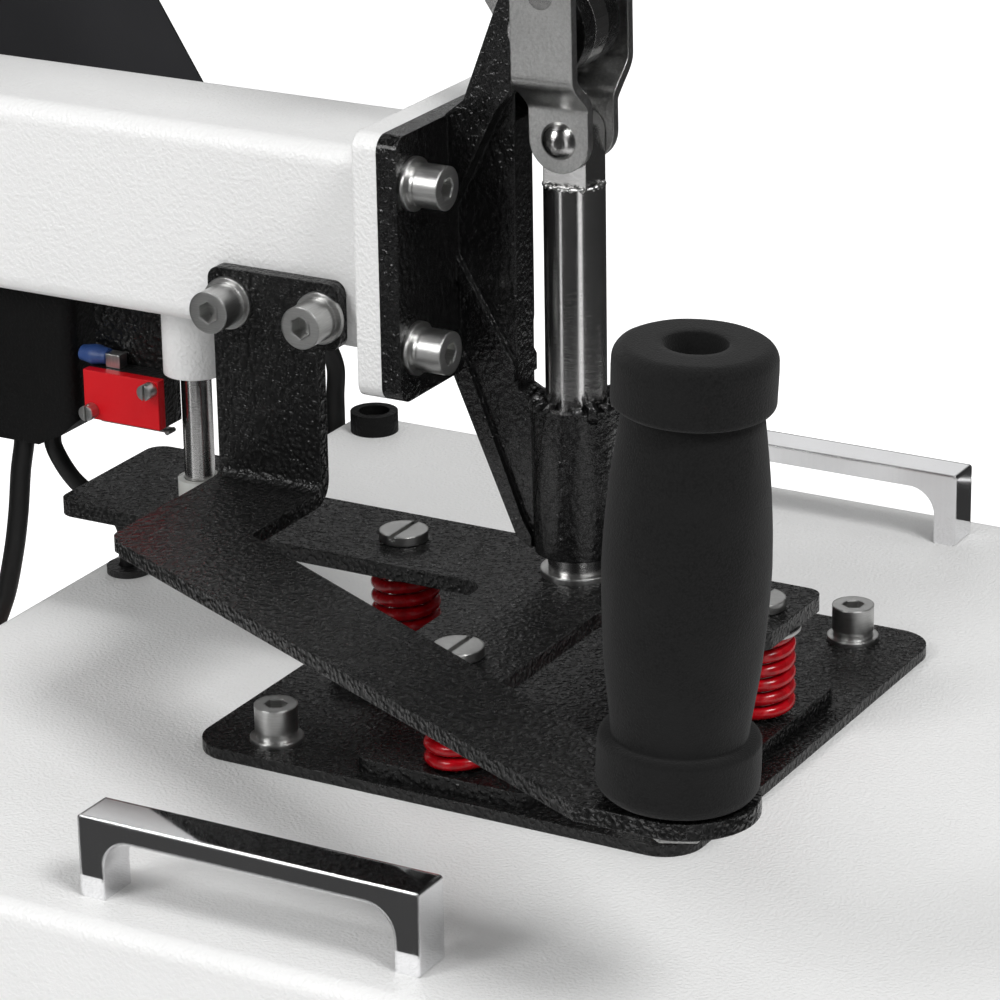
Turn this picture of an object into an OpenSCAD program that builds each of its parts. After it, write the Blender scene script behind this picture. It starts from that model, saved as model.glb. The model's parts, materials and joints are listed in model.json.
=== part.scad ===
// Swing-away heat press: a heated platen hangs on springs from a plunger, the plunger is driven
// by a lever and toggle link on a swinging arm, and a lower platen carries the work.
// Origin: centre of the silicone pad's top face. +Y runs back to the column, +Z up, -Y is the front.
// The head is drawn raised, with the press lever up.

/* [Platens] */
// Side of the square heater plate
heater_side = 380; // [340:5:420]
// Thickness of the heater plate
heater_t = 14; // [12:1:18]
// Height of the sheet cover over the heater
cover_h = 38; // [34:1:50]
// How far the cover overhangs the heater plate on each side
cover_margin = 5; // [3:0.5:8]
// Sheet thickness of the cover
cover_wall = 1.5; // [1:0.1:2.5]
// Height of the cover's rim above the heater's face
cover_lift = 7; // [5:0.5:9]
// Air left over the pad when the head is down
work_gap = 0.3; // [0.2:0.1:2]
// Thickness of the silicone pad
pad_t = 8; // [5:0.5:12]
// Thickness of the lower platen
lower_t = 8; // [6:0.5:12]

/* [Spring plates] */
// Width of the mounting plate along X
mount_x = 174; // [168:1:180]
// Depth of the mounting plate along Y
mount_y = 164; // [158:1:170]
// Thickness of the mounting plate
mount_t = 3.5; // [3:0.5:5]
// Bolt spacing of the mounting plate along X
mount_bolt_x = 147; // [145:1:150]
// Bolt spacing of the mounting plate along Y
mount_bolt_y = 118; // [116:1:122]
// Thickness of the plate that the springs stand on
seat_t = 5; // [4:0.5:6]
// Width of the seat plate's arms
seat_arm_w = 60; // [54:1:64]
// Length of a spring at rest
spring_len = 26.5; // [24:0.5:30]
// Outer diameter of a spring
spring_od = 21.5; // [20:0.5:23]
// Width of the spring wire, across the coil
wire_w = 4; // [3:0.1:4.2]
// Height of the spring wire, along the coil
wire_h = 3.8; // [2.4:0.1:3.9]
// Curls of a spring
spring_curls = 4.25; // [3:0.25:4.25]
// Distance of the side springs from the plunger
spring_x = 72; // [70:0.5:74]
// Distance of the front and back springs from the plunger
spring_y = 60.4; // [59:0.2:62]
// Thickness of the pressure plate
plate_t = 5; // [4:0.5:6]
// Width of the pressure plate's arms
plate_arm_w = 40; // [38:1:42]
// Reach of the pressure plate's tail behind the plunger
tail_reach = 175.5; // [170:0.5:178]

/* [Plunger and toggle] */
// Diameter of the plunger
plunger_d = 18.2; // [17:0.2:19]
// Length of the plunger from its washer to its shoulder
plunger_len = 119; // [118:0.5:121]
// Height of the rivet above the plunger's shoulder
tongue_rise = 14.8; // [14.6:0.1:15.2]
// Thickness of the plunger's tongue
tongue_t = 12; // [11:0.2:12]
// Distance from rivet to knee pin
link_len = 44.4; // [44:0.1:45]
// Distance from lever pivot to knee pin
knee_arm = 13; // [12.8:0.1:13.2]
// How far behind the plunger the lever pivot sits
pivot_back = 5.3; // [5.1:0.1:5.5]
// Angle of the knee arm above level when the head is up
knee_angle = 68; // [66:0.5:70]
// Angle of the press lever above level when the head is up
lever_angle = 135; // [130:1:138]
// Length of the press lever from its pivot
lever_len = 360; // [300:5:420]
// Diameter of the press lever's tube
lever_d = 25; // [22:1:28]

/* [Arm and column] */
// Width of the arm's tube
arm_w = 50; // [48:1:52]
// Height of the arm's tube
arm_h = 62; // [60:1:64]
// Wall of the arm's tube
arm_wall = 3; // [2:0.5:4]
// Height of the arm's underside above the cover
arm_rise = 109; // [107:0.5:111]
// Free space between the upper platen and the column's axis
column_clear = 105; // [100:5:140]
// Diameter of the column
column_d = 60; // [56:1:64]
// Outer diameter of the arm's hub
hub_od = 72; // [68:1:76]
// Diameter of the spindle that the hub turns on
spindle_d = 40; // [36:1:42]
// Side of the arm's end plate and of the head bracket's flange
flange_side = 80; // [78:1:84]
// Thickness of the arm's end plate
end_plate_t = 8; // [6:0.5:9]
// Thickness of the head bracket's flange
flange_t = 6.5; // [6:0.5:8]
// Distance from the plunger's axis to the flange's back face
flange_back = 42.5; // [42:0.5:44]
// Diameter of the guide rod
rod_d = 9.6; // [9:0.1:10]
// Distance of the guide rod behind the plunger
rod_back = 134; // [132:0.5:136]

/* [Swing handle] */
// Thickness of the swing handle's bracket
strap_t = 4.5; // [4:0.5:5]
// Height of the strap's top face above the cover
strap_rise = 65; // [63:0.5:67]
// Height of the foam grip
grip_h = 119.5; // [110:0.5:125]
// Diameter of the grip's end collars
grip_d = 41.6; // [39:0.2:43]
// Place of the grip's axis along X
grip_x = -172; // [-174:1:-169]
// Place of the grip's axis along Y
grip_y = -121; // [-126:1:-120]

/* [Base] */
// Width of the base over its rails
base_w = 300; // [280:5:340]
// Side of the rails' square tube
rail_side = 40; // [35:1:45]
// Wall of the rails' tube
rail_wall = 2.5; // [2:0.5:3]
// How far the rails reach in front of the pad's centre
rail_front = 170; // [150:5:190]
// Height of the posts under the lower platen
post_h = 30; // [20:1:60]
// Height of the rubber feet
foot_h = 22; // [16:1:30]

/* [Control box] */
// Width of the control box
box_w = 98; // [90:1:104]
// Height of the control box
box_h = 93; // [88:1:98]
// Tilt of the control box's face from upright
face_tilt = 32; // [30:1:34]

/* [Hidden] */
$fn = 48;
hull_fn = 32;
eps = 0.01;
cut = 1;
part_gap = 0.3;
run_gap = 0.05;
hole_gap = 0.4;

// Standard M8 socket screw with its two washers
m8_d = 8;
m8_head_d = 13;
m8_head_h = 8;
m8_socket_d = 6.93;
m8_socket_share = 0.56;
m8_low_head_h = 4.2;
m8_washer_d = 16;
m8_washer_t = 1.6;
m8_lock_d = 12.4;
m8_lock_t = 2;
m8_stack = m8_washer_t + m8_lock_t;

// Toggle: places of the pivot, the knee pin and the rivet with the head up, and the stroke
knee_y = pivot_back - knee_arm * cos(knee_angle);
knee_drop = sqrt(pow(link_len, 2) - pow(knee_y, 2));
reach_down = sqrt(pow(knee_arm + link_len, 2) - pow(pivot_back, 2));
travel = reach_down - knee_drop + knee_arm * sin(knee_angle);
closed_angle = -acos(pivot_back / (knee_arm + link_len));
lever_swing = knee_angle - closed_angle;
link_tilt = asin(knee_y / link_len);
echo(travel = travel, lever_swing = lever_swing, link_tilt = link_tilt);

// Levels, counted up from the pad's face
head_h = cover_lift + cover_h;
heater_z = work_gap + travel;
cover_z = heater_z + cover_lift;
top_z = heater_z + head_h;
mount_z = top_z + mount_t;
seat_z = mount_z + seat_t;
spring_washer_t = 1.2;
spring_washer_d = 24;
plunger_washer_t = 2;
plunger_washer_d = 22.6;
plate_z = seat_z + spring_len + part_gap + spring_washer_t;
plate_top = plate_z + plate_t;
shaft_z = plate_top + plunger_washer_t;
shoulder_z = shaft_z + plunger_len;
rivet_z = shoulder_z + tongue_rise;
pivot_z = rivet_z + knee_drop - knee_arm * sin(knee_angle);
knee_z = rivet_z + knee_drop;

// Cover, heater and insulation
cover_side = heater_side + 2 * cover_margin;
cover_r = 5;
cover_inset = 0.5;
insulation_t = 12;
insulation_inset = 6;

// Mounting plate and seat plate
mount_r = 12;
mount_shift = 2.5;
seat_end = 11.5;
seat_fillet = 12;
seat_corner = 6;
mount_screw_len = 42;
stud_hole_gap = 0.1;
sleeve_d = 14;
sleeve_hole_d = 15;

// Pressure plate
plate_end = 11.4;
plate_fillet = 7;
plate_corner = 5;
tail_corner = 6;
tail_far = 37;
tail_wide_len = 34;
tail_flare = 18;

// Shoulder bolts through the springs
bolt_d = 8;
bolt_head_d = 15;
bolt_head_h = 3;
slot_w = 1.6;
slot_depth = 1.2;
bolt_places = [[spring_x, 0], [-spring_x, 0], [0, spring_y], [0, -spring_y]];
mount_places = [for (sx = [-1, 1]) for (sy = [-1, 1])
    [sx * mount_bolt_x / 2, sy * mount_bolt_y / 2 + mount_shift]];

// Pull handles on the cover
pull_len = 107.5;
pull_w = 12.7;
pull_h = 24.5;
pull_bar = 6;
pull_leg = 7.7;
pull_arch = 9;
pull_edge = 14.5;
pull_shift = 4;
pull_corner = 1;
pull_x = cover_side / 2 - pull_edge - pull_w / 2;

// Corner cups on the cover
cup_d = 17;
cup_h = 7.4;
cup_bore_d = 11;
cup_floor = 2;
cup_head_d = 9;
cup_head_h = 2.4;
cup_edge = 16;
cup_place = cover_side / 2 - cup_edge;

// Plunger's tongue and the joggled link
tongue_w = 14;
tongue_hole_d = 8.4;
link_t = 3;
link_w = 19.8;
link_foot_w = 19.2;
link_low = tongue_t / 2 + part_gap;
link_high = 15.5;
stub_in = 10.9;
joggle_low = 9.5;
joggle_high = 20;
rivet_d = 8;
rivet_head_d = 11.3;
rivet_head_h = 3.6;
knee_pin_d = 8;
hub_t = 7.8;
hub_r = 15;
hub_neck_r = 8;
hub_neck_at = 36;
cheek_in = 10.7;
cheek_t = 4.5;
cheek_r = 7.5;
socket_d = 32;
socket_len = 26;
socket_at = 50;
lever_end_gap = 4;
hand_grip_len = 120;
hand_grip_d = 34;
hand_grip_r = 5;

// Head bracket
flange_r = 5;
flange_low = 101;
flange_bolt_near = 31;
flange_bolt_far = 18.75;
flange_bolt_z = 49.6;
flange_z = top_z + flange_low + flange_side / 2;
web_t = 10;
rim_h = 2;
ear_half = 10.4;
ear_r = 15;
slot_r = 32;
collar_od = 27.4;
collar_foot_od = 26;
collar_rise = 49.5;
collar_len = 46.5;
pivot_pin_d = 12;
// Side outlines of the head bracket: distance behind the plunger, height above the cover
web_points = [[38, 102], [17.5, 53], [12, 50], [11, 95], [16.8, 98], [16.8, 190], [38, 180]];
block_points = [[38, 148], [38, 180], [30.5, 186], [19.5, 214.5], [5.3, 209.6], [15, 199],
    [15, 190], [20, 184]];
low_rim_points = [[38, 101], [17, 52.5], [12, 49.5], [12, 53], [15, 58], [33, 104], [38, 112]];
mid_rim_points = [[38, 133], [17, 101], [17, 106], [38, 141]];

// Guide rod
boss_d = 20;
boss_drop = 24.5;
rod_foot_d = 14;
rod_foot_h = 8;
rod_nut_d = 15;
rod_nut_h = 1.6;
rod_top_gap = 12;

// Arm and column
column_y = cover_side / 2 + column_clear;
arm_z = top_z + arm_rise;
arm_r = 6;
hub_over = 12;
hub_z = arm_z - hub_over;
hub_h = arm_h + 2 * hub_over;
thrust_t = 3;
nut_d = 56;
nut_h = 12;
nut_bore_d = 24;
spindle_screw_d = 23.6;
spindle_root = 60;
column_foot = 100;
column_foot_t = 8;
column_bolt_spacing = 76;
column_bolt_len = 20;
column_wall = 4;

// Swing handle bracket
tab_back = 107;
tab_front = 71;
head_back = 108.5;
head_front = 63;
head_top = 130.7;
head_low = 110;
head_r = 4;
strap_screw_back = 101.2;
strap_screw_front = 69.2;
strap_screw_z = 120.2;
bend_r = 3;
foot_near = 90;
strap_end_near = 190;
strap_end_far = 152;
strap_end_back = -101;
strap_far_back = -89;
strap_notch_x = 69;
strap_end_y = -123;
strap_corner = 5;
grip_neck_d = 34.8;
grip_belly_d = 42;
grip_cap_d = 40.8;
grip_collar_h = 16.5;
grip_edge_r = 4;
grip_neck_r = 3;
grip_recess_d = 16;
grip_recess_h = 7;
grip_bore_d = 12.4;
grip_rod_d = 12;
grip_head_d = 19;
grip_head_h = 5;
grip_steps = 14;
grip_lean = 2.5;

// Micro switch
switch_back = 168;
switch_len = 27.8;
switch_h = 15.9;
switch_low = 67.5;
switch_near = -12;
switch_cover_t = 3.4;
switch_body_t = 6.9;
switch_screw_d = 3;
switch_screw_head = 5;
switch_screw_out = 4;
switch_screw_dy = 11.1;
switch_screw_dz = -5.15;
blade_t = 0.6;
blade_w = 4;
blade_len = 24;
blade_drop = 1.6;
blade_pin_d = 1.6;
blade_root = 3;

// Switch bracket and cable boot
hang_t = 2;
hang_foot = 16;
hang_back = 170;
hang_front = 145;
boot_back = 211;
boot_front = 174;
boot_x = 20;
boot_low = 54.5;
boot_nose = 59;
boot_heel = 188;
boot_r = 5;

// Leads
lead_d = 6.6;
lead_sides = 8;
thin_lead_d = 5.6;

// Control box
box_near = arm_w / 2;
box_low = 118;
box_column_clear = 104;
box_front = column_y - box_column_clear;
box_foot = 62;
box_head = 24;
box_wall = 2.5;
panel_t = 1.6;
panel_inset = 3;
window_w = 46;
window_h = 24;
window_t = 1.2;
window_drop = 14;
key_w = 14;
key_h = 9;
key_out = 2;
key_in = 2.4;
key_pitch = 22;
key_rise = 22;
rocker_l = 20;
rocker_w = 13;
rocker_t = 5;
rocker_gap = 0.4;
rocker_up = 28;
rocker_back = 34;

// Base
rail_top = -pad_t - lower_t - post_h;
rail_back_over = 70;
rail_back = column_y + rail_back_over;
rail_x = (base_w - rail_side) / 2;
cross_front_y = -90;
post_d = 36;
post_x = rail_x;
post_y = 120;
foot_d = 40;
foot_edge = 35;
foot_top_d = 34;
cap_t = 4;
cap_plug = 12;
cap_wall_gap = 0.2;
rail_len = rail_front + rail_back;

// A rectangle with round corners, centred
module round_rect(w, d, r) {
    square([w - 2 * r, d], center = true);
    square([w, d - 2 * r], center = true);
    for (sx = [-1, 1]) for (sy = [-1, 1])
        translate([sx * (w / 2 - r), sy * (d / 2 - r)]) circle(r);
}

// A plate with round corners on the XY plane, its underside at zero
module round_plate(w, d, h, r) {
    linear_extrude(h) round_rect(w, d, r);
}

// A plus of two crossed bars with filleted inner corners
module plus_outline(half_x, half_y, arm, fillet, corner) {
    difference() {
        union() {
            round_rect(2 * half_x, arm, corner);
            round_rect(arm, 2 * half_y, corner);
            square(arm + 2 * fillet, center = true);
        }
        for (sx = [-1, 1]) for (sy = [-1, 1])
            translate([sx * (arm / 2 + fillet), sy * (arm / 2 + fillet)]) circle(fillet);
    }
}

// An M8 socket screw standing on z = 0 with its washers, its shank going down
module m8_screw(shank, head = m8_head_h) {
    depth = head * m8_socket_share;
    difference() {
        translate([0, 0, m8_stack]) cylinder(h = head, d = m8_head_d);
        translate([0, 0, m8_stack + head - depth]) cylinder(h = depth + cut, d = m8_socket_d, $fn = 6);
    }
    translate([0, 0, -shank]) cylinder(h = shank + m8_stack + eps, d = m8_d);
    cylinder(h = m8_washer_t, d = m8_washer_d);
    translate([0, 0, m8_washer_t - eps]) cylinder(h = m8_lock_t + 2 * eps, d = m8_lock_d);
}

// Turns a module that stands along +Z so that it points to the front, -Y
module face_front() {
    rotate([90, 0, 0]) children();
}

// A tube carried along a list of points by one polyhedron
function unit(v) = v / norm(v);
function heading(p, i) = unit(p[min(i + 1, len(p) - 1)] - p[max(i - 1, 0)]);
function side_of(t) = unit(abs(t[2]) > 0.9 ? cross([0, 1, 0], t) : cross([0, 0, 1], t));
function next_side(s, t) = unit(s - (s * t) * t);
function sides_along(p, i = 0, s = undef) = i >= len(p) ? [] :
    let (t = heading(p, i), now = next_side(s == undef ? side_of(t) : s, t))
    concat([now], sides_along(p, i + 1, now));
module swept_tube(p, d, n) {
    s = sides_along(p);
    rings = [for (i = [0 : len(p) - 1]) let (u = s[i], v = cross(heading(p, i), s[i]))
        for (k = [0 : n - 1]) p[i] + d / 2 * (cos(360 * k / n) * u + sin(360 * k / n) * v)];
    walls = [for (i = [0 : len(p) - 2]) for (k = [0 : n - 1]) let (q = (k + 1) % n)
        each [[i * n + k, i * n + q, (i + 1) * n + q], [i * n + k, (i + 1) * n + q, (i + 1) * n + k]]];
    last = (len(p) - 1) * n;
    caps = [for (k = [1 : n - 2]) each [[0, k + 1, k], [last, last + k, last + k + 1]]];
    polyhedron(rings, concat([for (w = walls) [w[0], w[2], w[1]]], [for (c = caps) [c[0], c[2], c[1]]]));
}

// A smooth curve through hand-chosen points, a few steps to each span
function blend4(a, b, c, d, t) = 0.5 * (2 * b + (c - a) * t + (2 * a - 5 * b + 4 * c - d) * t * t
    + (3 * b - a - 3 * c + d) * t * t * t);
function smooth_route(p, n) = concat([for (i = [0 : len(p) - 2]) for (k = [0 : n - 1])
    blend4(p[max(i - 1, 0)], p[i], p[i + 1], p[min(i + 2, len(p) - 1)], k / n)], [p[len(p) - 1]]);

// A spring: one wire of six sides, straight for one wire width at each end
rings_per_curl = 8;
spring_r = (spring_od - wire_w) / 2;
function curl_point(turn) = [spring_r * cos(360 * turn), spring_r * sin(360 * turn),
    wire_h + turn / spring_curls * (spring_len - 2 * wire_h)];
function curl_points() = [for (i = [0 : spring_curls * rings_per_curl]) curl_point(i / rings_per_curl)];
function wire_gap(p) = min([for (i = [0 : len(p) - 1]) for (j = [i + 1 : len(p) - 1])
    if (j - i > rings_per_curl / 2) norm(p[i] - p[j]) - wire_h]);
echo(least_spring_gap = wire_gap(curl_points()));
module spring() {
    core = curl_points();
    n = len(core) + 2;
    lift = [0, 0, wire_h];
    path = concat([core[0] - lift], core, [core[len(core) - 1] + lift]);
    sides = 6;
    rings = [for (i = [0 : n - 1]) let (
        turn = (min(max(i - 1, 0), len(core) - 1)) / rings_per_curl,
        out = [cos(360 * turn), sin(360 * turn), 0],
        round_way = [-sin(360 * turn), cos(360 * turn), 0],
        up = (i == 0 || i == n - 1) ? -round_way : (i == 1 || i == n - 2) ? unit([0, 0, 1] - round_way)
            : [0, 0, 1])
        for (k = [0 : sides - 1]) path[i] + wire_w / 2 * cos(360 * k / sides + 30) * out
            + wire_h / 2 * sin(360 * k / sides + 30) * up];
    walls = [for (i = [0 : n - 2]) for (k = [0 : sides - 1]) let (q = (k + 1) % sides)
        each [[i * sides + k, i * sides + q, (i + 1) * sides + q],
            [i * sides + k, (i + 1) * sides + q, (i + 1) * sides + k]]];
    last = (n - 1) * sides;
    caps = [for (k = [1 : sides - 2]) each [[0, k + 1, k], [last, last + k, last + k + 1]]];
    polyhedron(rings, concat(walls, caps));
}

module rail_tube(side) {
    color("whitesmoke") translate([side * rail_x, -rail_front, rail_top - rail_side / 2])
        rotate([-90, 0, 0]) linear_extrude(rail_len) difference() {
            round_rect(rail_side, rail_side, rail_wall * 1.6);
            square(rail_side - 2 * rail_wall, center = true);
        }
}
module side_rails() { for (s = [-1, 1]) rail_tube(s); }

module cross_tube(y, w) {
    color("whitesmoke") translate([-rail_x + rail_side / 2, y, rail_top - rail_side / 2])
        rotate([90, 0, 90]) linear_extrude(2 * rail_x - rail_side) difference() {
            square([w, rail_side], center = true);
            square([w - 2 * rail_wall, rail_side - 2 * rail_wall], center = true);
        }
}
// A narrow cross tube in front and a wide one under the column
module cross_members() {
    cross_tube(cross_front_y, rail_side);
    difference() {
        cross_tube(column_y, column_foot);
        for (sx = [-1, 1]) for (sy = [-1, 1])
            translate([sx * column_bolt_spacing / 2, column_y + sy * column_bolt_spacing / 2,
                rail_top - 2 * rail_wall]) cylinder(h = 3 * rail_wall, d = m8_d + hole_gap);
    }
}

module rail_caps() {
    plug = rail_side - 2 * rail_wall - 2 * cap_wall_gap;
    color("dimgray") for (sx = [-1, 1]) for (end = [-rail_front, rail_back])
        translate([sx * rail_x, end, rail_top - rail_side / 2])
            rotate([end < 0 ? 90 : -90, 0, 0]) {
                round_plate(rail_side, rail_side, cap_t, rail_wall * 1.6);
                translate([0, 0, -cap_plug]) round_plate(plug, plug, cap_plug + eps, rail_wall);
            }
}

foot_places = [for (sx = [-1, 1]) for (y = [-rail_front + foot_edge, rail_back - foot_edge])
    [sx * rail_x, y]];
module rubber_feet() {
    color("black") for (p = foot_places) translate([p[0], p[1], rail_top - rail_side - foot_h])
        cylinder(h = foot_h, d1 = foot_d, d2 = foot_top_d);
}

post_places = [for (sx = [-1, 1]) for (sy = [-1, 1]) [sx * post_x, sy * post_y]];
module support_posts() {
    color("whitesmoke") for (p = post_places) translate([p[0], p[1], rail_top])
        cylinder(h = post_h, d = post_d);
}

module lower_platen() {
    color("whitesmoke") translate([0, 0, -pad_t - lower_t])
        round_plate(heater_side, heater_side, lower_t, lower_t);
}

module silicone_pad() {
    color("darkorange") translate([0, 0, -pad_t])
        round_plate(heater_side, heater_side, pad_t, pad_t);
}

thrust_z = hub_z - thrust_t;
module column() {
    color("whitesmoke") translate([0, column_y, rail_top]) {
        difference() {
            round_plate(column_foot, column_foot, column_foot_t, column_foot_t);
            for (sx = [-1, 1]) for (sy = [-1, 1])
                translate([sx * column_bolt_spacing / 2, sy * column_bolt_spacing / 2, -cut])
                    cylinder(h = column_foot_t + 2 * cut, d = m8_d + hole_gap);
        }
        difference() {
            cylinder(h = thrust_z - rail_top, d = column_d);
            translate([0, 0, thrust_z - rail_top - spindle_root])
                cylinder(h = spindle_root + cut, d = spindle_d);
            translate([0, 0, column_foot_t])
                cylinder(h = thrust_z - rail_top - spindle_root - 2 * column_foot_t,
                    d = column_d - 2 * column_wall);
        }
    }
}

module column_bolts() {
    color("silver") for (sx = [-1, 1]) for (sy = [-1, 1])
        translate([sx * column_bolt_spacing / 2, column_y + sy * column_bolt_spacing / 2,
            rail_top + column_foot_t]) m8_screw(column_bolt_len);
}

module spindle() {
    color("silver") translate([0, column_y, thrust_z - spindle_root]) {
        cylinder(h = spindle_root + thrust_t + hub_h + part_gap, d = spindle_d);
        cylinder(h = spindle_root + thrust_t + hub_h + part_gap + nut_h, d = spindle_screw_d);
    }
}

module thrust_washer() {
    color("goldenrod") translate([0, column_y, thrust_z]) difference() {
        cylinder(h = thrust_t - part_gap, d = column_d);
        translate([0, 0, -cut]) cylinder(h = thrust_t + 2 * cut, d = spindle_d + 2 * run_gap);
    }
}

module spindle_nut() {
    color("black") translate([0, column_y, hub_z + hub_h + part_gap]) difference() {
        cylinder(h = nut_h, d = nut_d);
        translate([0, 0, -cut]) cylinder(h = nut_h + 2 * cut, d = nut_bore_d);
    }
}

module arm_hub() {
    color("white") translate([0, column_y, hub_z]) difference() {
        cylinder(h = hub_h, d = hub_od);
        translate([0, 0, -cut]) cylinder(h = hub_h + 2 * cut, d = spindle_d + 2 * run_gap);
    }
}

// The arm runs from its end plate into the hub's wall
arm_front = flange_back + end_plate_t;
module arm_outline(w, h, r) {
    translate([0, arm_z + arm_h / 2]) round_rect(w, h, r);
}
module arm_body() {
    difference() {
        translate([0, column_y, 0]) rotate([90, 0, 0]) linear_extrude(column_y - arm_front)
            difference() {
                arm_outline(arm_w, arm_h, arm_r);
                arm_outline(arm_w - 2 * arm_wall, arm_h - 2 * arm_wall, arm_r - arm_wall);
            }
        translate([0, column_y, hub_z - cut]) cylinder(h = hub_h + 2 * cut, d = hub_od);
        translate([0, rod_back, arm_z - cut]) cylinder(h = arm_wall + 2 * cut, d = boss_d + hole_gap);
    }
}

bolt_hole_d = m8_d + hole_gap;
flange_places = [for (x = [-flange_bolt_near, flange_bolt_far]) for (sz = [-1, 1])
    [x, flange_z + sz * flange_bolt_z / 2]];
module flange_holes(from_y, reach) {
    for (p = flange_places) translate([p[0], from_y, p[1]])
        rotate([90, 0, 0]) cylinder(h = reach, d = bolt_hole_d);
}

// The arm's tube with the end plate welded to its front
module arm_tube() {
    color("white") {
        arm_body();
        difference() {
            translate([0, arm_front + eps, flange_z]) rotate([90, 0, 0])
                round_plate(flange_side, flange_side, end_plate_t + eps, flange_r);
            flange_holes(arm_front + cut, end_plate_t + 2 * cut);
        }
    }
}

// Head bracket: flange, web, rims, collar round the plunger and two ears round the lever pivot
collar_z = top_z + collar_rise;
flange_front = flange_back - flange_t;
module side_profile(half) {
    translate([-half, 0, top_z]) rotate([90, 0, 90]) linear_extrude(2 * half) children();
}
module rim(points) {
    side_profile(web_t / 2 + rim_h) polygon(points);
}
module head_casting() {
    color([0.09, 0.09, 0.09]) difference() {
        union() {
            translate([0, flange_back, flange_z]) rotate([90, 0, 0])
                round_plate(flange_side, flange_side, flange_t, flange_r);
            side_profile(web_t / 2) polygon(web_points);
            side_profile(ear_half) {
                polygon(block_points);
                translate([pivot_back, pivot_z - top_z]) circle(ear_r);
            }
            rim(low_rim_points);
            rim(mid_rim_points);
            translate([0, 0, collar_z]) cylinder(h = collar_len, d1 = collar_foot_od, d2 = collar_od);
        }
        translate([0, 0, collar_z - cut]) cylinder(h = collar_len + 2 * cut, d = plunger_d + 2 * run_gap);
        translate([-hub_t / 2 - part_gap, pivot_back, pivot_z]) rotate([0, 90, 0])
            cylinder(h = hub_t + 2 * part_gap, r = slot_r);
        translate([-ear_half - cut, pivot_back, pivot_z]) rotate([0, 90, 0])
            cylinder(h = 2 * (ear_half + cut), d = pivot_pin_d + 2 * run_gap);
        flange_holes(flange_back + cut, flange_t + 2 * cut);
    }
}

module flange_bolts() {
    color("silver") for (p = flange_places) translate([p[0], flange_front, p[1]])
        face_front() m8_screw(flange_t + end_plate_t, p[0] < 0 ? m8_head_h : m8_low_head_h);
}

// Guide bush of the rod, let into the arm's underside
module rod_bush() {
    color("white") translate([0, rod_back, arm_z - boss_drop]) difference() {
        cylinder(h = boss_drop + arm_wall, d = boss_d);
        translate([0, 0, -cut]) cylinder(h = boss_drop + arm_wall + 2 * cut, d = rod_d + 2 * run_gap);
    }
}

// Swing handle: a tab on the arm's side, a level foot and a strap out to the grip
tab_x = -arm_w / 2 - strap_t;
strap_top = top_z + strap_rise;
strap_z = strap_top - strap_t;
strap_end_r = (strap_end_near - strap_end_far) / 2;
module tab_outline() {
    translate([(head_back + head_front) / 2, (head_top + head_low) / 2])
        round_rect(head_back - head_front, head_top - head_low, head_r);
    translate([tab_front, strap_rise + bend_r])
        square([tab_back - tab_front, head_low - strap_rise - bend_r + head_r]);
}
module strap_outline() {
    polygon([[tab_x - bend_r, tab_back], [-foot_near + strap_corner, tab_back],
        [-foot_near - strap_corner / 3, tab_back - strap_corner],
        [-strap_end_near, strap_end_back], [-strap_end_near, strap_end_y],
        [-strap_end_far, strap_end_y], [-strap_end_far, strap_far_back],
        [-strap_notch_x, tab_front], [tab_x - bend_r, tab_front]]);
    translate([-foot_near + strap_corner, tab_back - strap_corner]) circle(strap_corner);
    translate([-strap_end_near + strap_end_r, strap_end_y]) circle(strap_end_r);
}
module handle_bracket() {
    color([0.1, 0.1, 0.1]) difference() {
        union() {
            translate([tab_x, 0, top_z]) rotate([90, 0, 90]) linear_extrude(strap_t) tab_outline();
            translate([0, 0, strap_z]) linear_extrude(strap_t) strap_outline();
            translate([tab_x - bend_r, tab_back, strap_top + bend_r]) rotate([90, 0, 0])
                linear_extrude(tab_back - tab_front) intersection() {
                    difference() {
                        circle(bend_r + strap_t);
                        circle(bend_r);
                    }
                    translate([0, -bend_r - strap_t]) square(bend_r + strap_t);
                }
        }
        for (y = [strap_screw_back, strap_screw_front]) translate([tab_x - cut, y, top_z + strap_screw_z])
            rotate([0, 90, 0]) cylinder(h = strap_t + 2 * cut, d = bolt_hole_d);
        translate([grip_x, grip_y, strap_z - cut])
            cylinder(h = strap_t + 2 * cut, d = grip_bore_d + hole_gap);
    }
}

module bracket_bolts() {
    color("silver") for (y = [strap_screw_back, strap_screw_front])
        translate([tab_x, y, top_z + strap_screw_z]) rotate([0, -90, 0]) m8_screw(strap_t);
}

module lean_grip(z) {
    translate([grip_x, grip_y, z]) rotate([grip_lean, 0, 0]) children();
}
grip_rise = grip_d / 2 * sin(grip_lean);
module grip_bolt() {
    color("silver") lean_grip(strap_z) translate([0, 0, -grip_head_h - grip_rise / 2]) {
        cylinder(h = grip_head_h, d = grip_head_d, $fn = 6);
        cylinder(h = grip_head_h + strap_t + grip_h - 2 * grip_recess_h, d = grip_rod_d);
    }
}

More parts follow.
